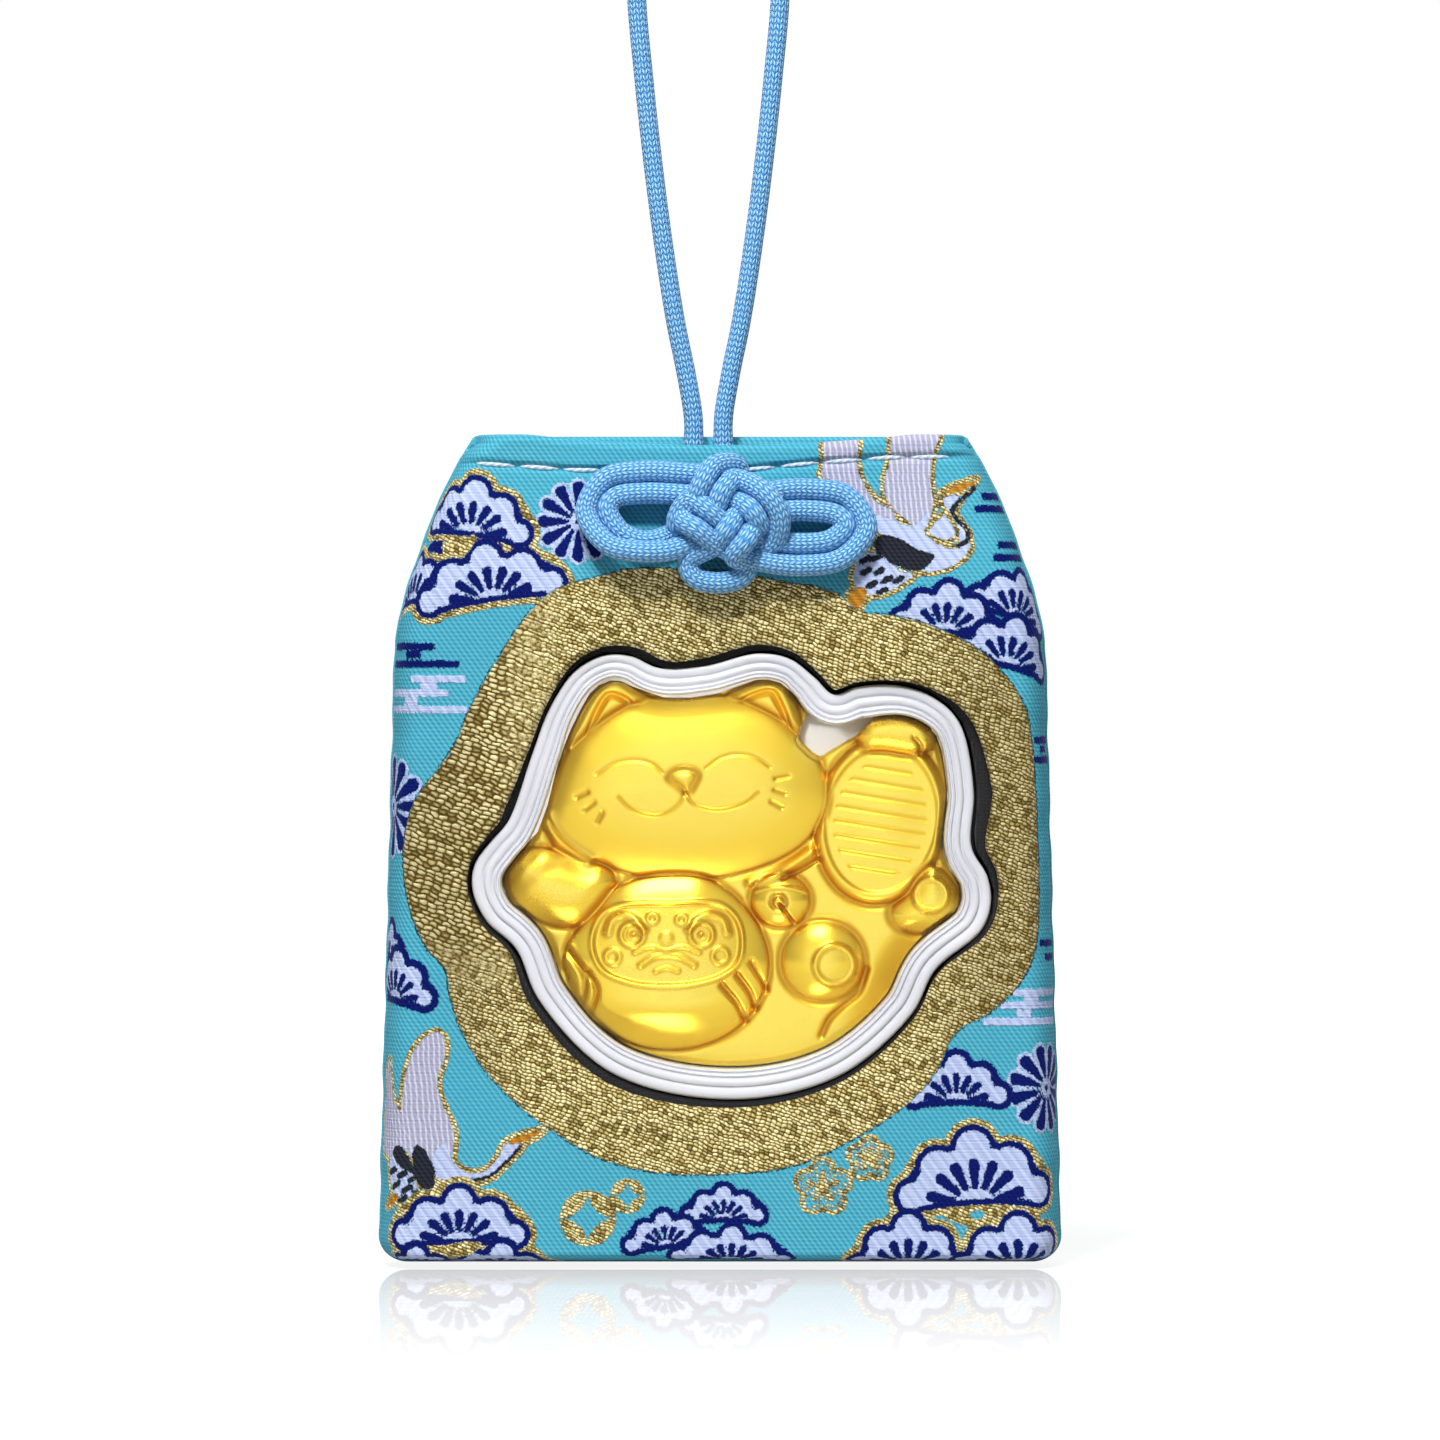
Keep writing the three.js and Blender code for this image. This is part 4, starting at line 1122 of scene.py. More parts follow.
# Edge of the foil-woven ground round the window, clockwise from the upper left
LAME_EDGE = [
    (-13.4, 57.9), (-10.9, 58.6), (-8.1, 59.3), (-3, 59.4), (1.7, 59), (5.3, 58.3), (9.8, 57.4),
    (11.9, 55.8), (15.4, 55.3), (17.8, 54.6), (20.6, 53.4), (22.7, 52), (24.8, 49.7), (26.2, 47.3),
    (26.8, 44.5), (27.2, 40.6), (27.4, 37.1), (27.5, 33), (27.4, 28.8), (26.8, 26.3), (25.5, 23.9),
    (23.8, 22.1), (22.4, 21.1), (20.6, 20.2), (19.6, 19), (18.9, 17.3), (17.8, 15.5), (16.1, 13.8),
    (13.6, 12), (11.2, 10.6), (8.4, 9.2), (5.3, 8.2), (1.8, 7.8), (-3.9, 7.7), (-7.4, 8.2), (-10.6, 9.2),
    (-13.7, 11), (-15.8, 12.4), (-18.2, 14.5), (-20.3, 16.9), (-22.1, 20), (-23.1, 23.2), (-23.5, 25.3),
    (-24.9, 26.8), (-26.1, 29.1), (-27, 32.3), (-27.3, 35), (-26.9, 37.5), (-25.9, 39.9), (-24.3, 42),
    (-22.6, 44.5), (-21.6, 46.9), (-20.2, 49.7), (-18.6, 52.3), (-16.9, 54.9), (-15.1, 56.9),
]
# Cranes: thread and outline of each part, in the order in which they are woven
UPPER_CRANE = [
    ("grey", [(9.2, 72.5), (8.8, 68.8), (8.7, 67.3), (9.7, 66.9), (11.2, 66), (13.1, 64.1), (15, 62.7),
        (15, 64.3), (13.3, 65.4), (12.1, 67.3), (11.8, 69), (12, 72.5)]),
    ("grey", [(15, 72.5), (14.5, 68.8), (14, 66.9), (14.2, 65.4), (15, 64.4), (16, 63.5), (17.5, 62.7),
        (18.3, 64.8), (18.1, 66.9), (18.3, 69.2), (19.4, 72.5)]),
    ("lilac", [(13.3, 64.1), (15, 63.6), (16.6, 63.2), (18, 64.6), (17.8, 63), (18.4, 61.8), (20.2, 61.2),
        (21.2, 62.1), (21.5, 61.4), (20.6, 60.1), (19, 59.3), (17.3, 59.2), (15.4, 61.2), (13.5, 62.6)]),
    ("lilac", [(19, 65.4), (20, 65.9), (20.8, 65.5), (20.2, 64.6), (20.6, 63.5), (21.3, 62.4),
        (20.6, 61.6), (20, 63.2), (19.4, 64.5)]),
    ("black", [(13.4, 62.3), (15.4, 62), (16.8, 61.1), (18.3, 60.6), (17.1, 59.2), (15.4, 59.5),
        (13.3, 61)]),
    ("lilac", [(11.8, 60.3), (13.3, 60.9), (15.3, 59.4), (16.6, 58.9), (15.8, 58.2), (14.1, 57.3),
        (12.6, 57.2), (11.4, 58.2)]),
    ("umber", [(19, 65.9), (20.2, 66.7), (21.3, 67), (22.6, 67.3), (21.7, 66.6), (20.6, 66)]),
    ("umber", [(10.6, 56), (11.4, 57.7), (12.2, 57.8), (12.6, 57.2), (11.5, 55.7)]),
]
UPPER_CRANE_NECK = [
    (20.3, 61.4), (21.2, 61.9), (21.2, 62.8), (20.3, 63.7), (19.9, 64.4), (20.4, 65.1), (21.9, 66.5),
]
UPPER_CRANE_CHECKS = [
    (12.4, 60.2), (13.4, 60.4), (12.5, 59.2), (13.6, 59.2), (13, 58.1), (14.3, 58.5), (15.3, 58.5),
    (13.9, 57.5),
]
UPPER_CRANE_BEND = [
    (18.9, 64.1), (17.7, 62.7), (18.2, 62.1), (19.4, 61.7), (20.3, 62.3), (20, 63.3), (19.3, 64.3),
]
LOWER_CRANE = [
    ("grey", [(-27.6, 13.3), (-28.3, 14.2), (-29.2, 17.6), (-30.6, 13), (-30.4, 9.6), (-27.4, 9.2),
        (-26.4, 11.8)]),
    ("grey", [(-24.1, 19.9), (-25.2, 19.5), (-26.4, 17.9), (-27.2, 15), (-27.4, 12.4), (-26.8, 9.4),
        (-25.4, 8.4), (-24.1, 7.3), (-23.1, 8.3), (-22.7, 11.4), (-23.5, 13.3), (-24.1, 15.6),
        (-23.5, 17.6), (-23.5, 19.3)]),
    ("lilac", [(-24.4, 9.6), (-23.4, 10.4), (-22.9, 9), (-21.6, 7.9), (-20, 8.1), (-18.9, 9.4),
        (-18.5, 10.2), (-17.5, 10.5), (-16.9, 10.1), (-17.9, 8.9), (-19.6, 7.3), (-21.2, 6.9), (-23.3, 7),
        (-24.6, 7.6)]),
    ("lilac", [(-28.6, 9.2), (-26.5, 8.5), (-25.7, 6.5), (-24.7, 6.2), (-25.4, 5.2), (-27.2, 5),
        (-28.7, 6.7)]),
    ("black", [(-25.9, 10.2), (-24.9, 9.2), (-24.3, 7.5), (-24.5, 6.4), (-25.6, 6.5), (-26.4, 8.5)]),
    ("black", [(-28.3, 9.7), (-27.5, 10.1), (-26.5, 9.1), (-26, 7.7), (-27.2, 8.2), (-28.1, 9)]),
    ("umber", [(-18.4, 10.4), (-17.5, 10.9), (-15, 11.5), (-16, 10.7), (-17.1, 10.3)]),
    ("umber", [(-29.4, 4.8), (-28.7, 5.7), (-27.6, 6), (-27.9, 5.2)]),
]
LOWER_CRANE_NECK = [(-21.4, 7.1), (-19.8, 7.4), (-18.1, 8.8), (-16.9, 10.1)]
LOWER_CRANE_CHECKS = [
    (-28.3, 7.9), (-27.2, 7.6), (-26.2, 7.3), (-27.9, 6.7), (-26.8, 6.4), (-25.8, 6.2), (-27.2, 5.5),
    (-26.1, 5.3),
]


def front_figures(u, v):
    """The front's figures: mist, flowers, cranes, pines, rings and plums, with the foil ground on top."""
    cloth = Weaving(u, v)
    cloth.mist("navy", [
        (-34, -24.4, 52.8), (-27.2, -25.6, 52.1), (-34, -22.3, 51.3), (22.5, 34, 65.7), (21.8, 34, 64.6),
        (23.8, 34, 61.5), (23.4, 34, 60.4), (27.1, 34, 44.8), (28, 29.5, 44), (26.8, 34, 43.1),
        (27.6, 34, 27.4), (28.4, 34, 26.2)])
    cloth.mist("lilac", [
        (-26.5, -21.8, 50), (-25.6, -24.2, 49.4), (-34, -23.2, 48.8), (-27.3, -25.9, 48.1),
        (-34, -21.5, 47.4), (24.8, 34, 23.2), (26, 27.4, 22.6), (23.9, 34, 22.1), (25.4, 26.6, 21.4),
        (22.5, 34, 20.7)])
    for flower in ((-12.15, 63.5, 3.5), (-29.5, 39.1, 4.3), (28.4, 15, 3.75, 15)):
        cloth.flower(*flower)
    cloth.crane(UPPER_CRANE)
    bend = area(u, v, UPPER_CRANE_BEND)
    cloth.weave("lilac", bend)
    cloth.weave("gold", np.abs(bend) - 0.2)
    cloth.weave("black", line_distance(u, v, spline(UPPER_CRANE_NECK, 30)) - 0.24)
    cloth.crane(LOWER_CRANE)
    cloth.weave("black", line_distance(u, v, spline(LOWER_CRANE_NECK, 24)) - 0.18)
    for x, z in UPPER_CRANE_CHECKS + LOWER_CRANE_CHECKS:
        cloth.weave("black", taper(u, v, (x - 0.3, z - 0.15), (x + 0.3, z + 0.15), 0.26, 0.26))
    cloth.weave("navy", area(u, v, [
        (-26.2, 60.6), (-24.0, 62.4), (-20.4, 62.6), (-18.8, 61.4), (-20.8, 60.0), (-24.6, 59.6)]))
    cloth.pines([(-21.5, 62.1, 10.1, 5.1, -8), (-26.8, 56.4, 8.2, 4.4, 8), (-19.5, 56.5, 12.8, 5, 9)], True)
    cloth.weave("gold", area(u, v, [
        (-23.9, 61.4), (-22.4, 61.9), (-20.9, 62.3), (-21.4, 61), (-22.5, 60.4)]))
    cloth.pines(
        [(25.2, 55, 8.6, 4.4, -20), (19.2, 53.8, 9, 4.5, -6), (24.5, 50.9, 9.4, 4.5, -14)], False, 0.5)
    cloth.pines([(-30.4, 24.8, 6.4, 4.6, -12), (-28.5, 22.3, 7.4, 4.7, -8)], False, 0.55)
    cloth.pines([(-22.3, 1.6, 11.4, 4.9, 0), (-26, -2.6, 6.6, 4.3, 0), (-18.9, -2.6, 9, 4.5, -4)], True)
    cloth.weave("gold", area(u, v, [(-23.5, 1.3), (-22.1, 1.9), (-20.4, 1.7), (-21.5, 0.7), (-22.7, 0.7)]))
    cloth.pines([(0.3, 3.6, 7, 3.1, 0), (-4.6, 1.3, 7, 3.2, 6), (0.9, -0.4, 10.6, 3.5, -3)], False, 0.42)
    cloth.pines([(20.2, 13.6, 8.7, 4.4, 0)], False, 0.5)
    cloth.pines([(21.9, 4.8, 13.1, 6.8, 3), (16.1, -1.4, 9.6, 5.9, 0), (25.5, -1.5, 10.8, 5.8, 0)], True)
    cloth.weave("gold", area(u, v, [(18.9, 4.3), (21.6, 4.9), (24, 5), (23, 3.5), (21.4, 3.2)]))
    cloth.uncover(np.hypot((u - 22.0) / 1.6, v - 4.2) - 0.38)
    for ring in ((-11.3, 3.9, 2.4), (-7.9, 5.8, 1.5)):
        cloth.linked_ring(*ring)
    for plum in ((8.8, 6.6, 2.5), (12.8, 9, 2)):
        cloth.plum(*plum)
    lame = area(u, v, LAME_EDGE)
    cloth.weave("black", lame - 0.12)
    cloth.weave("lame", lame)
    # The cord's slit, painted black: the black lining seen through it, and painted shade under the knot.
    slit = KNOT_MIDDLE[0] + 0.4, KNOT_MIDDLE[1] + 2.5
    cloth.weave("black", np.hypot((u - slit[0]) / 1.7, v - slit[1]) - 1.0)
    return cloth.threads


def back_figures(u, v):
    """The back's figures: the same cloth cut at another place, so only the ground motifs, in loose rows."""
    cloth = Weaving(u, v)
    cloth.mist("navy", [
        (-15, -8.4, 60.8), (-11.2, -9.6, 60.1), (-13, -6.3, 59.3), (12.5, 20, 31.7), (11.8, 18, 30.6)])
    cloth.mist("lilac", [
        (4.5, 11.8, 48), (5.6, 8.2, 47.4), (3.1, 9.2, 46.8), (-29, -22, 20.2), (-31, -23.5, 18.9)])
    for flower in ((-17.5, 50.5, 3.6), (14.6, 61.2, 3.4), (22.4, 22.4, 4), (-6, 27, 3.8), (3.2, 3.4, 3.4)):
        cloth.flower(*flower)
    cloth.pines([(-22, 60.6, 9.6, 5, -6), (-25.6, 56, 8.8, 4.6, 6)], True)
    cloth.pines([(20.4, 50.2, 12, 5.6, 4), (15.2, 45.8, 9.4, 4.6, 0), (24.8, 45.6, 9.2, 4.4, -4)], True)
    cloth.pines([(-1.6, 54, 9, 4.6, 0), (2.4, 51.2, 8.6, 4.2, 0)], False, 0.5)
    cloth.pines([(-20.6, 38, 12.6, 6.2, -3), (-25.4, 33.4, 9, 4.4, 0), (-15.6, 33.6, 9.8, 4.6, 4)], True)
    cloth.pines([(5.4, 37.4, 9.6, 4.6, 6)], False, 0.5)
    cloth.pines([(9.4, 15.6, 12.4, 6, 0), (4.4, 11.2, 9, 4.4, 0), (14.8, 11, 9.6, 4.6, 0)], True)
    cloth.pines([(-13.2, 14.4, 9.2, 4.6, -6), (-17.6, 11.4, 8.6, 4.2, 0)], False, 0.5)
    cloth.pines([(-24.8, 1.2, 10.4, 4.8, 0), (25.6, 2.2, 10.8, 5, 0)], True)
    for ring in ((-3.6, 42.4, 2.4), (-7, 44.2, 1.5), (25.4, 34.6, 2.2), (-9.6, 4.6, 2.2)):
        cloth.linked_ring(*ring)
    for plum in ((25.2, 58, 2.3), (-3.6, 18.6, 2.4)):
        cloth.plum(*plum)
    return cloth.threads


# Cloth pieces


def running_stitches(name, side, ends):
    """Stitches in a row on the hem: each a short thread, lifted in its middle and sunk at both ends."""
    left, right = ends
    pitch = STITCH_LENGTH + STITCH_GAP
    stitches = []
    for start in np.arange(left, right - STITCH_LENGTH, pitch):
        t = np.linspace(0, 1, 22)
        x = start + STITCH_LENGTH * t
        z = stitch_line(x) + 0.05 * np.sin(start * 1.7)
        lift = STITCH_LIFT * np.sin(np.pi * t) ** 0.5 - STITCH_SINK
        depth = bag_depth(x, z) + cloth_relief(x, z, side) + lift
        path = np.stack([x, side * depth, z], axis=1)
        radius = STITCH_THREAD / 2 * np.sin(np.pi * np.clip(t, 0.04, 0.96)) ** 0.3
        stitches.append(tube(path, radius, 10))
    made = piece(name, stitches, THREAD, weld=True)
    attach(made, "pouch")
    return made


def panel(name, node, sheet, look, slot, allowance, top, opening, **trim):
    """One layer of cloth: the sheet as a smooth mesh on the pouch, welded where it has no `opening`, in
    place of the model's part.
    """
    made = piece(name, [sheet], look, weld=not opening)
    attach(made, "pouch")
    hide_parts(node)


def brocade_panel(name, node, side, window, dip, figures, stitches, grid):
    """Outer cloth with its woven figures and hem; its row of stitches is made by running_stitches."""
    top = (lambda x: hem_top(x, dip) - HEM_FOLD / 2)
    sheet = bag_sheet(side, 0.0, window, top, HEM_FOLD, HEM_RUN, grid)
    u, v = sheet["chart"][:, :, 0], sheet["chart"][:, :, 1]
    sheet["values"] = figures(-side * u, v)
    sheet["uv"] = sheet["uv"] * (-side, 1)
    opening = 0 if window is None else BROCADE_OPENING
    panel(name, node, sheet, BROCADE, "brocade", BROCADE_ALLOWANCE, MOUTH, opening, with_pieces=[stitches])


def lining_panel(name, node, side, window):
    """Black cloth within the brocade, a little lower at the mouth and wider round the capsule."""
    top = (lambda x: np.full_like(x, LINING_TOP))
    sheet = bag_sheet(side, LINING_INSET, window, top, LINING_FOLD, LINING_RUN, LINING_GRID, relief=False)
    opening = 0 if window is None else LINING_OPENING
    panel(name, node, sheet, LINING, "lining", LINING_ALLOWANCE, LINING_TOP, opening)


# Capsule

RIM_STEPS = 720
# Bands of the rim, from its outer edge: share of the width at the inner side, and depth of the face
RIM_BANDS = [(0.38, -3.9), (0.7, -4.35), (0.86, -4.6), (1.0, -4.8)]
RIM_GROOVE = 0.08  # share of the rim's width
GROOVE_DEPTH = 0.3
BAND_ARCH = 0.12
WINDOW_LAP = 0.05
WINDOW_RINGS = 14
WINDOW_STEPS = 360


def capsule_rim():
    """Stepped moulding: a closed profile of four bands carried round the capsule's outline.

    A band's face is a low arch, level - h (1 - (2t - 1)^2), and a narrow groove parts it from the next.
    """
    t = np.linspace(0, 1, 7)
    profile = [(0.0, CAPSULE_BACK), (0.0, RIM_BANDS[0][1] + 0.25)]
    start = 0.03
    for end, level in RIM_BANDS:
        inward = start + (end - RIM_GROOVE / 2 - start) * t
        profile += list(zip(inward, level - BAND_ARCH * (1 - (2 * t - 1) ** 2)))
        profile.append((end, level + GROOVE_DEPTH))
        start = end + RIM_GROOVE / 2
    profile += [(1.0, FIGURE_BACK), (0.55, CAPSULE_BACK)]
    profile = np.array(profile + profile[:1])
    ring = contour(0, RIM_STEPS)
    across = ring[None] + profile[:, :1, None] * (rim_inside(0, RIM_STEPS) - ring)[None]
    points = upright(across, profile[:, 1, None])
    made = piece("capsule_rim", [{"points": points, "wrap": True}], RIM, weld=True)
    made.visible_shadow = False
    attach(made, "pouch")
    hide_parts("capsule_cover")


def capsule_window():
    """Clear plate inside the rim: rings shrunk from the rim's inner edge to the middle, front and back."""
    edge = rim_inside(-WINDOW_LAP, WINDOW_STEPS)
    share = np.concatenate([np.linspace(0, 1, WINDOW_RINGS), np.linspace(1, 0, WINDOW_RINGS)])
    depth = np.repeat([WINDOW_FACE, WINDOW_BACK], WINDOW_RINGS)
    flat = CAPSULE_MIDDLE + share[:, None, None] * (edge - CAPSULE_MIDDLE)
    points = upright(flat, depth[:, None])
    made = piece("capsule_window", [{"points": points, "wrap": True}], CLEAR, weld=True)
    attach(made, "pouch")


# Gold figure: places are millimetres from the capsule's middle

HEAD = [
    (-13.9, 10.9), (-12.2, 12.5), (-9.9, 14.1), (-7.3, 15.2), (-4.1, 15.7), (-0.3, 15.4), (2.9, 14.2),
    (5.4, 12.5), (7.3, 10.2), (8.2, 7.9), (7.9, 5.3), (6.5, 3.1), (4, 1.4), (0.4, 0.2), (-3.1, -0.3),
    (-7.2, -0.1), (-10.5, 0.8), (-13.2, 2.3), (-15.1, 4.1), (-15.9, 6.1), (-15.3, 8.4),
]
LEFT_EAR = [
    (-14.2, 10.8), (-13.3, 13.7), (-12, 15.8), (-10.7, 16.9), (-9.6, 16.9), (-8.4, 16.2), (-6.8, 15),
    (-9.1, 12.6), (-11.6, 11),
]
RIGHT_EAR = [
    (-0.9, 15.1), (1.3, 16.4), (3.1, 17), (4.5, 16.8), (5.4, 15.3), (5.9, 13.7), (6, 11.4), (4, 11.4),
    (1.8, 13),
]
LEFT_EAR_HOLLOW = [(-12.6, 12), (-11.9, 14.1), (-10.9, 15.7), (-10.1, 15.9), (-8.5, 14.9), (-10.4, 13.2)]
RIGHT_EAR_HOLLOW = [(0.6, 15), (2.3, 16), (3.6, 16.1), (4.4, 14.9), (5.1, 12.6), (3, 13.4)]
# Coin: across, up, half-width, half-height, tilt in degrees; and the pitch of its grooves
COIN = (12.8, 4.8, 5.6, 7.3, -9)
COIN_PITCH = 1.25
PAW = [
    (10.7, 12), (11.1, 13.3), (12.9, 14.1), (15.2, 14.1), (17.1, 13.5), (17.6, 12.1), (17.1, 10.9),
    (15.7, 10.4), (13.3, 10.7), (11.4, 10.9),
]
ELBOW = [
    (15, -1.5), (16, 0.1), (17.2, 0.9), (18.5, 0.1), (19.4, -1.3), (19.5, -2.9), (18.4, -4.3), (16.3, -5),
    (14.4, -4.5), (13.6, -3.2),
]
LEFT_ARM = [
    (-19.4, 0), (-18.9, 1.6), (-17.3, 2.4), (-15.9, 2.5), (-14.4, 1.9), (-12.8, 1.2), (-10.9, 0.8),
    (-10, -0.2), (-10.2, -1.5), (-11, -3), (-12.6, -4.2), (-14.5, -4.4), (-16.4, -3.9), (-18.2, -2.7),
    (-19.1, -1.5),
]
DOLL = [
    (-14.4, -7.2), (-13.9, -5.5), (-12.5, -3.8), (-11.3, -2.4), (-10.1, -1.1), (-8.2, -0.3), (-5.3, 0.1),
    (-2.6, -0.1), (-0.5, -1.1), (1.4, -3), (2.6, -4.9), (3.2, -7.2), (2.9, -9.4), (1.6, -11.9),
    (-0.3, -13.6), (-2.8, -14.6), (-6, -14.9), (-8.5, -14.4), (-11, -13.2), (-12.7, -11.6), (-13.9, -9.4),
]
DOLL_FACE = [
    (-11.9, -4.9), (-11.1, -3.3), (-9.6, -2.5), (-5.3, -2.3), (-1.1, -2.4), (0.4, -3.6), (0.9, -5.3),
    (0.6, -7.3), (-0.8, -8.5), (-3.1, -9.2), (-5.8, -9.4), (-8.7, -9.1), (-11, -8.1), (-11.9, -6.5),
]
NOSE = [(-5.3, 8.5), (-4.6, 9.05), (-3.5, 9.05), (-3, 8.7), (-3.3, 7.9), (-3.75, 7.3), (-4.5, 7.8)]
# Round shapes: across, up, half-width, half-height
BELL = (4.2, -2.1, 2.55, 2.35)
FOOT = (7.8, -7.3, 3.6, 3.5)
# Lines: points, half-width and height, negative where they are pressed in
LINES = [
    ([(-11.6, 8.8), (-10.1, 9.7), (-8.4, 10), (-6.9, 9.7), (-5.9, 8.9)], 0.14, -0.14),
    ([(-2.2, 9.3), (-0.9, 10.2), (0.6, 10.5), (2.1, 10.2), (3.3, 9.4)], 0.14, -0.14),
    ([(-4, 7.2), (-4.5, 6.2), (-5.4, 5.5), (-6.4, 5.2), (-7.4, 5.3), (-8.7, 5.8), (-9.7, 6.8)],
     0.14, -0.14),
    ([(-4, 7.2), (-3.4, 6.3), (-2.5, 5.9), (-1.4, 5.7), (-0.3, 5.8), (1.2, 6.3), (2.3, 7.2)], 0.14, -0.14),
    ([(-12.4, 7.2), (-13.3, 6.8)], 0.2, -0.2),
    ([(-11.8, 6.3), (-12.6, 5.7)], 0.2, -0.2),
    ([(-11.1, 5.4), (-11.5, 4.7)], 0.22, -0.2),
    ([(3.8, 8.4), (4.8, 8.6)], 0.2, -0.2),
    ([(3.7, 7.4), (4.6, 7.1)], 0.2, -0.2),
    ([(3.4, 6.4), (4.3, 5.9)], 0.2, -0.2),
    ([(-16, 5.4), (-15.4, 3.9), (-14, 2.4), (-12.3, 1.3)], 0.5, 0.5),
    ([(-16.4, 4.3), (-15.5, 2.8)], 0.3, -0.3),
    ([(1.6, -0.6), (3.7, 0.1), (5.4, 1.1), (6.9, 2.1)], 0.4, 0.5),
    ([(4.4, -0.2), (5.9, 0.5), (7.4, 1.4)], 0.2, -0.3),
    ([(-17.8, -0.7), (-16.4, 0.3), (-14.8, 0.7), (-12.4, 0.6)], 0.6, -0.1),
    ([(11.6, -8), (10.9, -10), (9.4, -11.3), (8.3, -12.4), (7.7, -13.7)], 0.3, -0.4),
    ([(15.6, 11.9), (16.2, 11.2), (16.2, 10.6)], 0.22, -0.3),
    ([(4.1, -2.4), (4.7, -3.2), (5.3, -4)], 0.16, -0.4),
    ([(1.9, -1.3), (3.4, -1), (5, -1), (6.5, -1.4)], 0.16, 0.12),
    ([(-10.6, -4.8), (-10.2, -3.7), (-9.2, -3.3), (-8.1, -3.8), (-7.5, -4.5)], 0.34, 0.3),
    ([(-0.4, -4.8), (-0.8, -3.7), (-2, -3.3), (-3.1, -3.8), (-3.7, -4.5)], 0.34, 0.3),
    ([(-7.8, -7.6), (-6.7, -6.9), (-5.6, -6.7), (-4.4, -6.9), (-3.2, -7.6)], 0.24, 0.2),
    ([(-8.3, -6.5), (-6.9, -6), (-5.6, -6.3), (-4.2, -6), (-2.8, -6.5)], 0.2, 0.16),
    ([(-6.5, -8.1), (-5.6, -7.8), (-4.6, -8.1)], 0.2, 0.14),
    ([(-14, -6.5), (-12.6, -8.6), (-12.9, -11.4)], 0.3, -0.4),
    ([(-12.3, -8.3), (-11.6, -9.7), (-12.1, -11.9)], 0.26, -0.4),
    ([(-14.3, -8.3), (-13.5, -9.7), (-13.4, -10.6)], 0.26, -0.3),
    ([(-0.8, -9.3), (0.4, -10.8), (1.1, -12.3)], 0.28, -0.4),
    ([(0.5, -8.4), (1.6, -10), (2, -11.3)], 0.28, -0.4),
    ([(1.7, -7.4), (2.6, -8.9), (3, -9.8)], 0.26, -0.3),
]
# Rings: across, up, half-width, half-height, line half-width, height
RINGS = [
    (17.1, -1.6, 1.4, 1.35, 0.22, 0.2), (8.8, -7.6, 1.65, 1.65, 0.24, 0.22),
    (4, -2.2, 0.6, 0.6, 0.24, -0.3), (-8.5, -5, 1, 1, 0.2, 0.22), (-2.6, -5, 1, 1, 0.2, 0.22),
    (-10.2, -6.9, 0.6, 0.6, 0.2, 0.16), (-8.4, -5, 0.2, 0.2, 0.2, -0.3), (-2.6, -5, 0.2, 0.2, 0.2, -0.3),
    (-1, -6.8, 0.65, 0.65, 0.2, 0.16), (-6.8, -3.6, 0.4, 0.4, 0.2, 0.16),
    (-4.3, -3.7, 0.4, 0.4, 0.2, 0.16),
]
# Small knobs: across, up, radius, rise
KNOBS = [(-8.5, -5, 0.45, 0.25), (-2.6, -5, 0.45, 0.25), (-5.6, -5.3, 0.6, 0.2)]
FULL_REACH = 30
# Bare card beside the right ear: angle about the capsule's middle in degrees, and reach of the foil
BARE_NOTCH = [
    (47.4, FULL_REACH), (48.4, 16.2), (50.8, 14.4), (53.3, 12.8), (57, 12.7), (62.8, 13), (64.6, 13.3),
    (66.2, FULL_REACH),
]
FOIL_ROWS, FOIL_COLUMNS = 138, 720


class Pressing:
    """Pressed foil: height above its back, and from 0 to 1 each point's painted shade in creases, and
    polish.
    """

    def __init__(self, x, z, height):
        self.x, self.z, self.height = x, z, height
        self.crease_shade = np.zeros(x.shape)
        self.polish = np.zeros(x.shape)

    def raise_shape(self, distance, base, rise, width, polish=0.0):
        """Dome over a signed distance: base + rise (0.3 sqrt(d) + 0.7 d), d = 1 - (1 - depth / width)^2.

        A ditch runs round it, with painted shade laid in the ditch.
        """
        inside = smoothstep(0.13, -0.13, distance)
        dome = 1 - (1 - np.clip(-distance / width, 0, 1)) ** 2
        cushion = base + rise * (0.3 * np.sqrt(dome) + 0.7 * dome)
        ditch = np.exp(-(((distance - 0.12) / 0.3) ** 2))
        self.height = (self.height - FOIL_DITCH * ditch) * (1 - inside) + cushion * inside
        self.crease_shade = np.maximum(self.crease_shade * (1 - inside), ditch)
        self.polish = self.polish * (1 - inside) + polish * inside

    def raise_area(self, points, base, rise, width, polish=0.0):
        """Dome over a closed outline."""
        self.raise_shape(area(self.x, self.z, points), base, rise, width, polish)

    def oval(self, across, up, wide, tall, tilt=0.0):
        """Signed distance to a tilted ellipse: (q - 1) times its mean radius, q^2 = (a/w)^2 + (b/t)^2."""
        a, b = turned(self.x - across, self.z - up, tilt)
        return (np.hypot(a / wide, b / tall) - 1) * (wide + tall) / 2

    def line(self, distance, width, rise):
        """Ridge or groove, rise exp(-(distance / width)^2), with painted shade along a groove or beside a
        ridge.
        """
        mark = np.exp(-((distance / width) ** 2))
        self.height = self.height + rise * mark
        flank = 0.6 * np.exp(-(((np.abs(distance) - 1.35 * width) / (0.5 * width)) ** 2))
        self.crease_shade = np.maximum(self.crease_shade, mark * min(1, -rise / 0.25) if rise < 0 else flank)


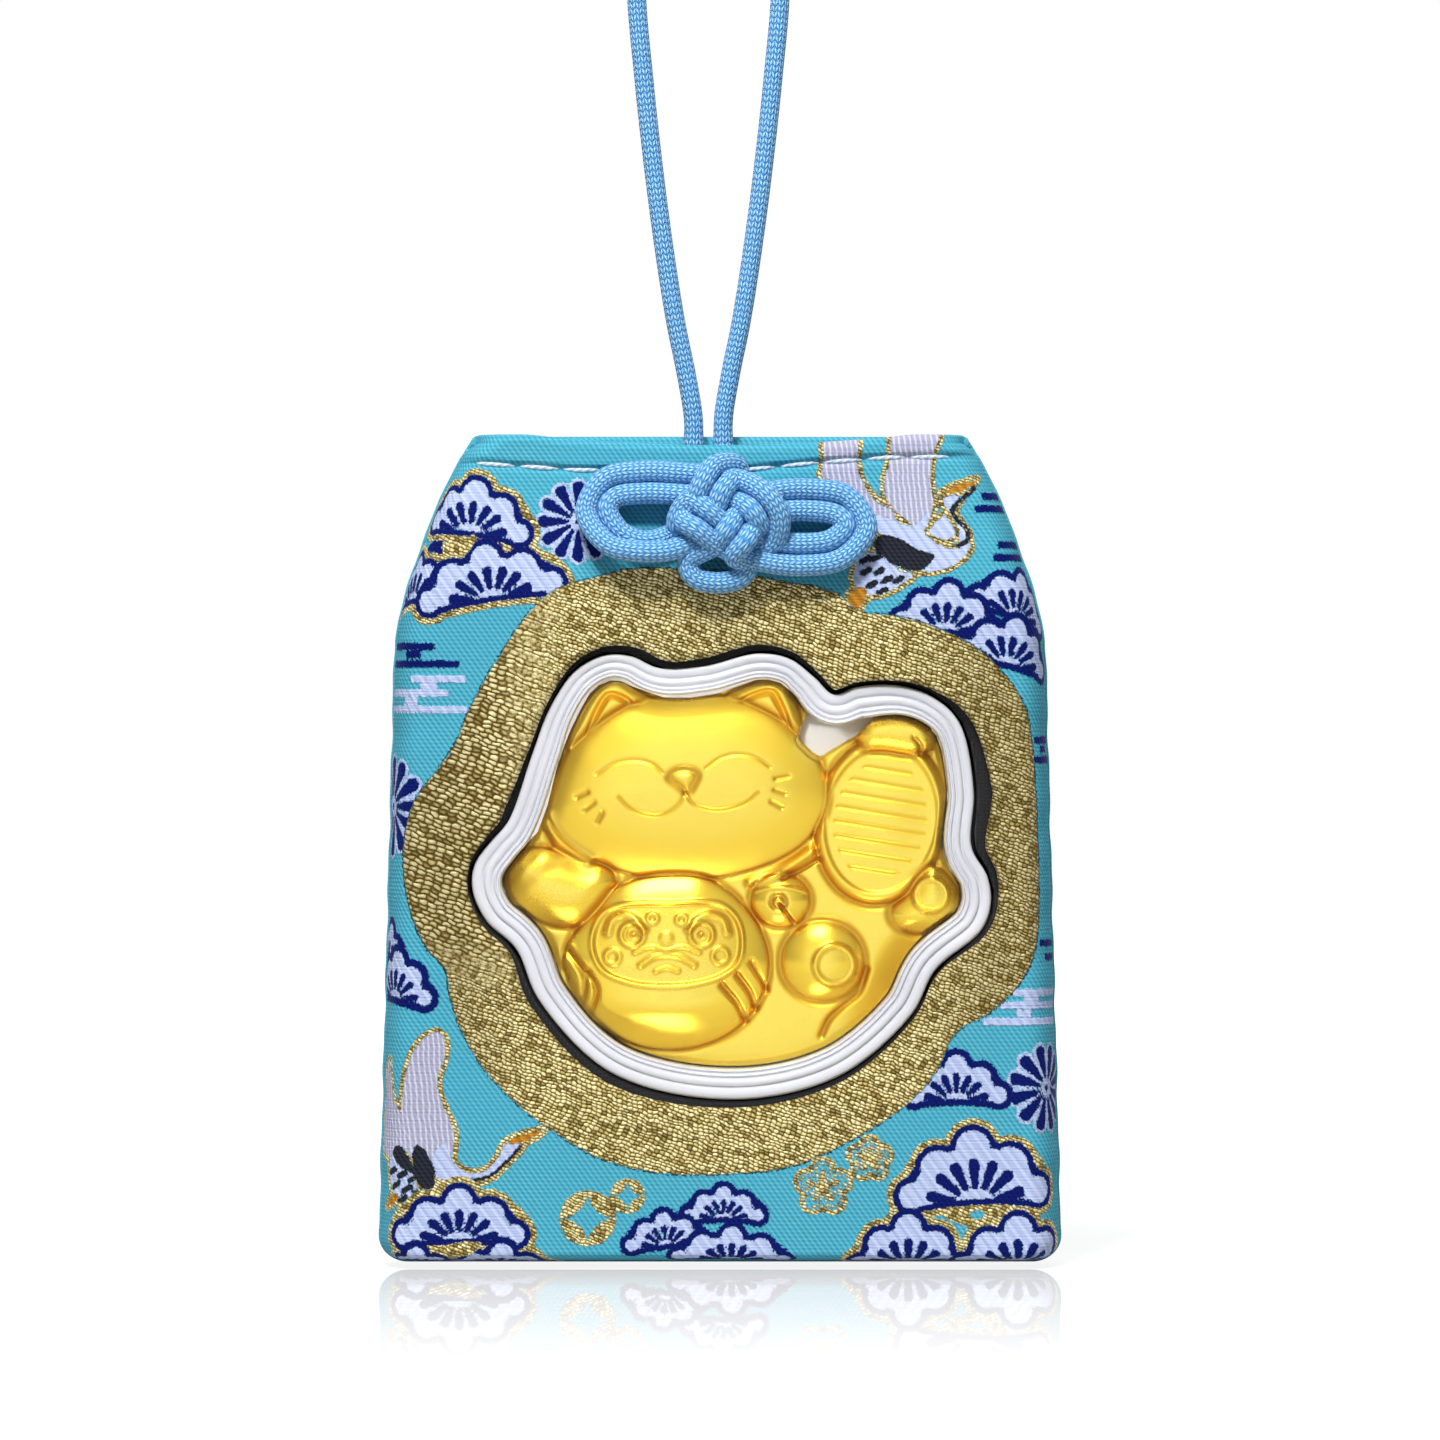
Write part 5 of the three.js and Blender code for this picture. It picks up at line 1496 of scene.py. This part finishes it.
def press_figure(x, z, edge):
    """Seated cat with a coin, a bell and a round doll; `edge` is the distance to the foil's edge."""
    foil = Pressing(x, z, FOIL + FOIL_CROWN * roll(edge, 5.0))
    for ear, hollow in ((LEFT_EAR, LEFT_EAR_HOLLOW), (RIGHT_EAR, RIGHT_EAR_HOLLOW)):
        foil.raise_area(ear, 0.9, 0.9, 0.9)
        dip = area(x, z, hollow)
        floor = 1 - 0.9 * smoothstep(-0.2, -0.85, dip)
        foil.height = foil.height - 0.6 * smoothstep(0.1, -0.25, dip) * floor
    coin = foil.oval(*COIN)
    foil.raise_shape(coin, 0.9, 0.8, 0.7)
    along = turned(x - COIN[0], z - COIN[1], COIN[4])[1] / COIN_PITCH
    field = smoothstep(-0.75, -1.15, coin)
    foil.height = foil.height - (0.3 - 0.35 * smoothstep(-0.9, -6.0, coin)) * field
    groove = np.abs(along % 1 - 0.5) * COIN_PITCH
    foil.line(np.where(coin < -1.9, groove, FAR), 0.16, -0.12)
    foil.raise_area(PAW, 1.35, 1.1, 1.8, 0.3)
    foil.raise_area(ELBOW, 0.8, 1.0, 2.3, 0.6)
    foil.raise_shape(foil.oval(*FOOT), 0.8, 1.4, 3.4, 0.7)
    foil.raise_area(HEAD, 0.9, 2.0, 8.0)
    foil.raise_area(NOSE, 2.5, 0.45, 0.8)
    foil.raise_area(LEFT_ARM, 0.9, 1.5, 3.2, 0.3)
    foil.raise_shape(foil.oval(*BELL), 0.9, 1.15, 2.4, 0.8)
    doll = area(x, z, DOLL)
    foil.raise_shape(doll, 0.95, 1.95, 6.6, 1.0)
    belly = np.exp(-(((x + 5.6) / 6.5) ** 2) - ((z + 11.3) / 1.6) ** 2)
    foil.height = foil.height + 0.38 * belly * smoothstep(0.1, -0.6, doll)
    face = area(x, z, DOLL_FACE)
    foil.height = foil.height - 0.3 * smoothstep(0.2, -0.5, face)
    foil.polish = foil.polish * (1 - 0.6 * smoothstep(0.2, -0.5, face))
    foil.line(face, 0.2, 0.16)
    for points, width, rise in LINES:
        curve = spline(points, 6 * len(points)) if len(points) > 2 else points
        foil.line(line_distance(x, z, curve), width, rise)
    for across, up, wide, tall, width, rise in RINGS:
        foil.line(foil.oval(across, up, wide, tall), width, rise)
    for across, up, radius, rise in KNOBS:
        foil.height = foil.height + rise * np.exp(-(((x - across) ** 2 + (z - up) ** 2) / radius**2) ** 2)
    return np.minimum(foil.height, FOIL_TOP), foil.crease_shade, foil.polish


def gold_cat():
    """Pressed foil: rings from the capsule's middle to the rim, raised by press_figure, and a flat back."""
    inside = polar(rim_inside(FIGURE_GAP, OUTLINE_STEPS), CAPSULE_MIDDLE)
    theta = np.linspace(-np.pi, np.pi, FOIL_COLUMNS, endpoint=False)
    degrees = np.degrees(theta)
    bare = np.interp(degrees, *np.array(BARE_NOTCH).T)
    share = np.linspace(0, 1, FOIL_ROWS)[:, None] ** 0.9
    radius = np.minimum(share * inside(theta), bare)
    x, z = radius * np.cos(theta), radius * np.sin(theta)
    edge = np.minimum(inside(theta), bare) - radius
    height, crease_shade, polish = press_figure(x, z, edge)
    # Lower right flank: sunk a little, and given painted shade further down.
    flank = smoothstep(2.6, 0.2, edge) * smoothstep(-55, -38, degrees) * smoothstep(-13, -19, degrees)
    height = height - 0.4 * flank
    height = 0.3 + (height - 0.3) * (0.3 + 0.7 * smoothstep(0, 0.6, edge))
    front = upright(np.stack([x, z], axis=2) + CAPSULE_MIDDLE, FIGURE_BACK - height)
    spokes = np.gradient(front, axis=0)
    rings = np.roll(front, -1, axis=1) - np.roll(front, 1, axis=1)
    facing = np.cross(spokes, rings)
    slope_shade = 1 - np.abs(facing[:, :, 1]) / np.maximum(np.linalg.norm(facing, axis=2), 1e-9)
    slope_shade[0] = 0
    # Painted shade by slope, weaker near the foil's edge, plus painted shade on the lower right flank.
    slope_shade = slope_shade * (0.1 + 0.9 * smoothstep(0.3, 2.2, edge)) + 0.22 * flank
    # Painted crease shade, faded towards the foil's edge.
    crease_shade = crease_shade * (0.15 + 0.85 * smoothstep(0.1, 1.0, edge))
    rim = front[-1:].copy()
    rim[:, :, 1] = FIGURE_BACK
    back = np.broadcast_to(upright(CAPSULE_MIDDLE, FIGURE_BACK), rim.shape)
    points = np.concatenate([front, rim, back])
    values = {"crease_shade": crease_shade, "slope_shade": slope_shade, "polish": polish}
    values = {name: np.concatenate([value, value[-1:], value[-1:]]) for name, value in values.items()}
    patch = {"points": points, "wrap": True, "values": values}
    made = piece("gold_cat", [patch], GOLD, weld=True)
    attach(made, "pouch")
    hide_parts("gold_figure")


# Floor, light and background


def stage():
    """White floor just under the pouch, with a faint reflection that fades towards the viewer."""
    look = bpy.data.materials.new("white_floor")
    look.use_nodes = True
    graph = Graph(look.node_tree)
    look.node_tree.nodes.remove(look.node_tree.nodes["Principled BSDF"])
    spot = graph.split(graph.object_place())
    path = graph.node("ShaderNodeLightPath").outputs
    seen = graph.math("MAXIMUM", path["Is Camera Ray"], path["Is Glossy Ray"])
    matt = graph.node("ShaderNodeBsdfDiffuse", {"Color": (0.3, 0.3, 0.3, 1)}).outputs[0]
    glow = graph.times(seen, graph.ramp(spot["Y"], 0.02, 0.35, 0.78, 1.0))
    lift = graph.node("ShaderNodeEmission", {"Strength": glow}).outputs[0]
    white = graph.node("ShaderNodeAddShader", {0: matt, 1: lift}).outputs[0]
    gloss = graph.node("ShaderNodeBsdfGlossy", {"Color": (1, 1, 1, 1), "Roughness": 0.01}).outputs[0]
    before = graph.ramp(spot["Y"], -0.125, -0.004, 0.0, FLOOR_MIRROR)
    share = graph.math("MINIMUM", before, graph.ramp(spot["Y"], 0.05, 0.01, 0.0, FLOOR_MIRROR))
    blend = graph.node("ShaderNodeMixShader", {0: share, 1: white, 2: gloss}).outputs[0]
    graph.put(look.node_tree.nodes["Material Output"].inputs["Surface"], blend)
    across, away = np.meshgrid(np.linspace(-2.0, 2.0, FLOOR_STEPS), np.linspace(-0.7, 2.5, FLOOR_STEPS))
    level = np.full_like(across, POUCH_ORIGIN[2] - FLOOR_DROP * MM)
    points = np.stack([across, away, level], axis=2).reshape(-1, 3)
    mesh = bpy.data.meshes.new("floor")
    mesh.from_pydata(points.tolist(), [], grid_quads(FLOOR_STEPS, FLOOR_STEPS, False).tolist())
    mesh.materials.append(look)
    add("floor", mesh)


def lamp(name, where, size, power, mirrored=False):
    """Square soft light aimed at the pouch's middle; `where` is in pouch millimetres."""
    light = bpy.data.lights.new(name, "AREA")
    light.size = size
    light.energy = power
    made = add(name, light)
    made.location = place(where)
    made.visible_glossy = mirrored
    aim = place(LIGHT_AIM) - place(where)
    level = math.hypot(aim[0], aim[1])
    made.rotation_euler = (math.atan2(level, -aim[2]), 0, math.atan2(aim[1], aim[0]) - np.pi / 2)


def lights():
    """Light from above, fills from both sides and behind, and a world that shows white to the camera."""
    lamp("above", (-110, -440, 520), 0.08, 2.8)
    lamp("above_mirrored", (-50, -400, 640), 0.28, 3.3, mirrored=True)
    lamp("left", (-650, -500, 160), 0.5, 0.35)
    lamp("right", (650, -420, 120), 0.5, 0.25)
    lamp("behind", (150, 700, 400), 0.6, 3.0)
    world = bpy.data.worlds.new("studio")
    world.use_nodes = True
    bpy.context.scene.world = world
    graph = Graph(world.node_tree)
    sky = world.node_tree.nodes["Background"]
    path = graph.node("ShaderNodeLightPath").outputs
    toward = graph.split(graph.node("ShaderNodeTexCoord").outputs["Generated"])
    shown = graph.math("MAXIMUM", path["Is Camera Ray"], path["Is Transmission Ray"])
    behind = graph.times(path["Is Glossy Ray"], graph.ramp(toward["Y"], -0.1, 0.3))
    shown = graph.math("MAXIMUM", shown, behind)
    nearer = graph.ramp(toward["Y"], -0.1, -0.95, 0.32, 0.92)
    mirrored = graph.times(nearer, graph.ramp(toward["Z"], -0.6, 0.7, 0.72, 1.45))
    card = graph.times(toward["Y"], -0.97)
    for axis, share in (("X", -0.18), ("Z", 0.16)):
        card = graph.times_plus(toward[axis], share, card)
    mirrored = graph.plus(mirrored, graph.ramp(card, 0.86, 0.99, 0.0, 0.3))
    soft = graph.ramp(toward["Z"], -0.5, 0.9, 0.055, 0.11)
    studio = graph.between(path["Is Glossy Ray"], soft, mirrored)
    graph.put(sky.inputs["Color"], (1, 1, 1, 1))
    graph.put(sky.inputs["Strength"], graph.between(shown, studio, 1.0))


camera()
hanging_cord()
knot()
front_stitches = running_stitches("front_hem_stitches", -1, (-20.9, 21.3))
back_stitches = running_stitches("back_hem_stitches", 1, (-20.6, 20.9))
front_window = window_edge(OUTLINE_STEPS)
brocade_panel(
    "front_brocade", "front_panel", -1, front_window, HEM_DIP, front_figures, front_stitches, FRONT_GRID)
brocade_panel("back_brocade", "back_panel", 1, None, 0.0, back_figures, back_stitches, BACK_GRID)
lining_panel("front_lining_cloth", "front_lining", -1, contour(LINING_REVEAL, OUTLINE_STEPS))
lining_panel("back_lining_cloth", "back_lining", 1, None)
capsule_rim()
capsule_window()
gold_cat()
inner_looks = {"capsule_base": TRAY, "backing_card": CARD, "stiffener_card": CARD, "mount_board": BOARD}
for node, look in inner_looks.items():
    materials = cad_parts[node].data.materials
    materials.clear()
    materials.append(look)
stage()
lights()
bpy.context.scene.view_settings.view_transform = "Standard"
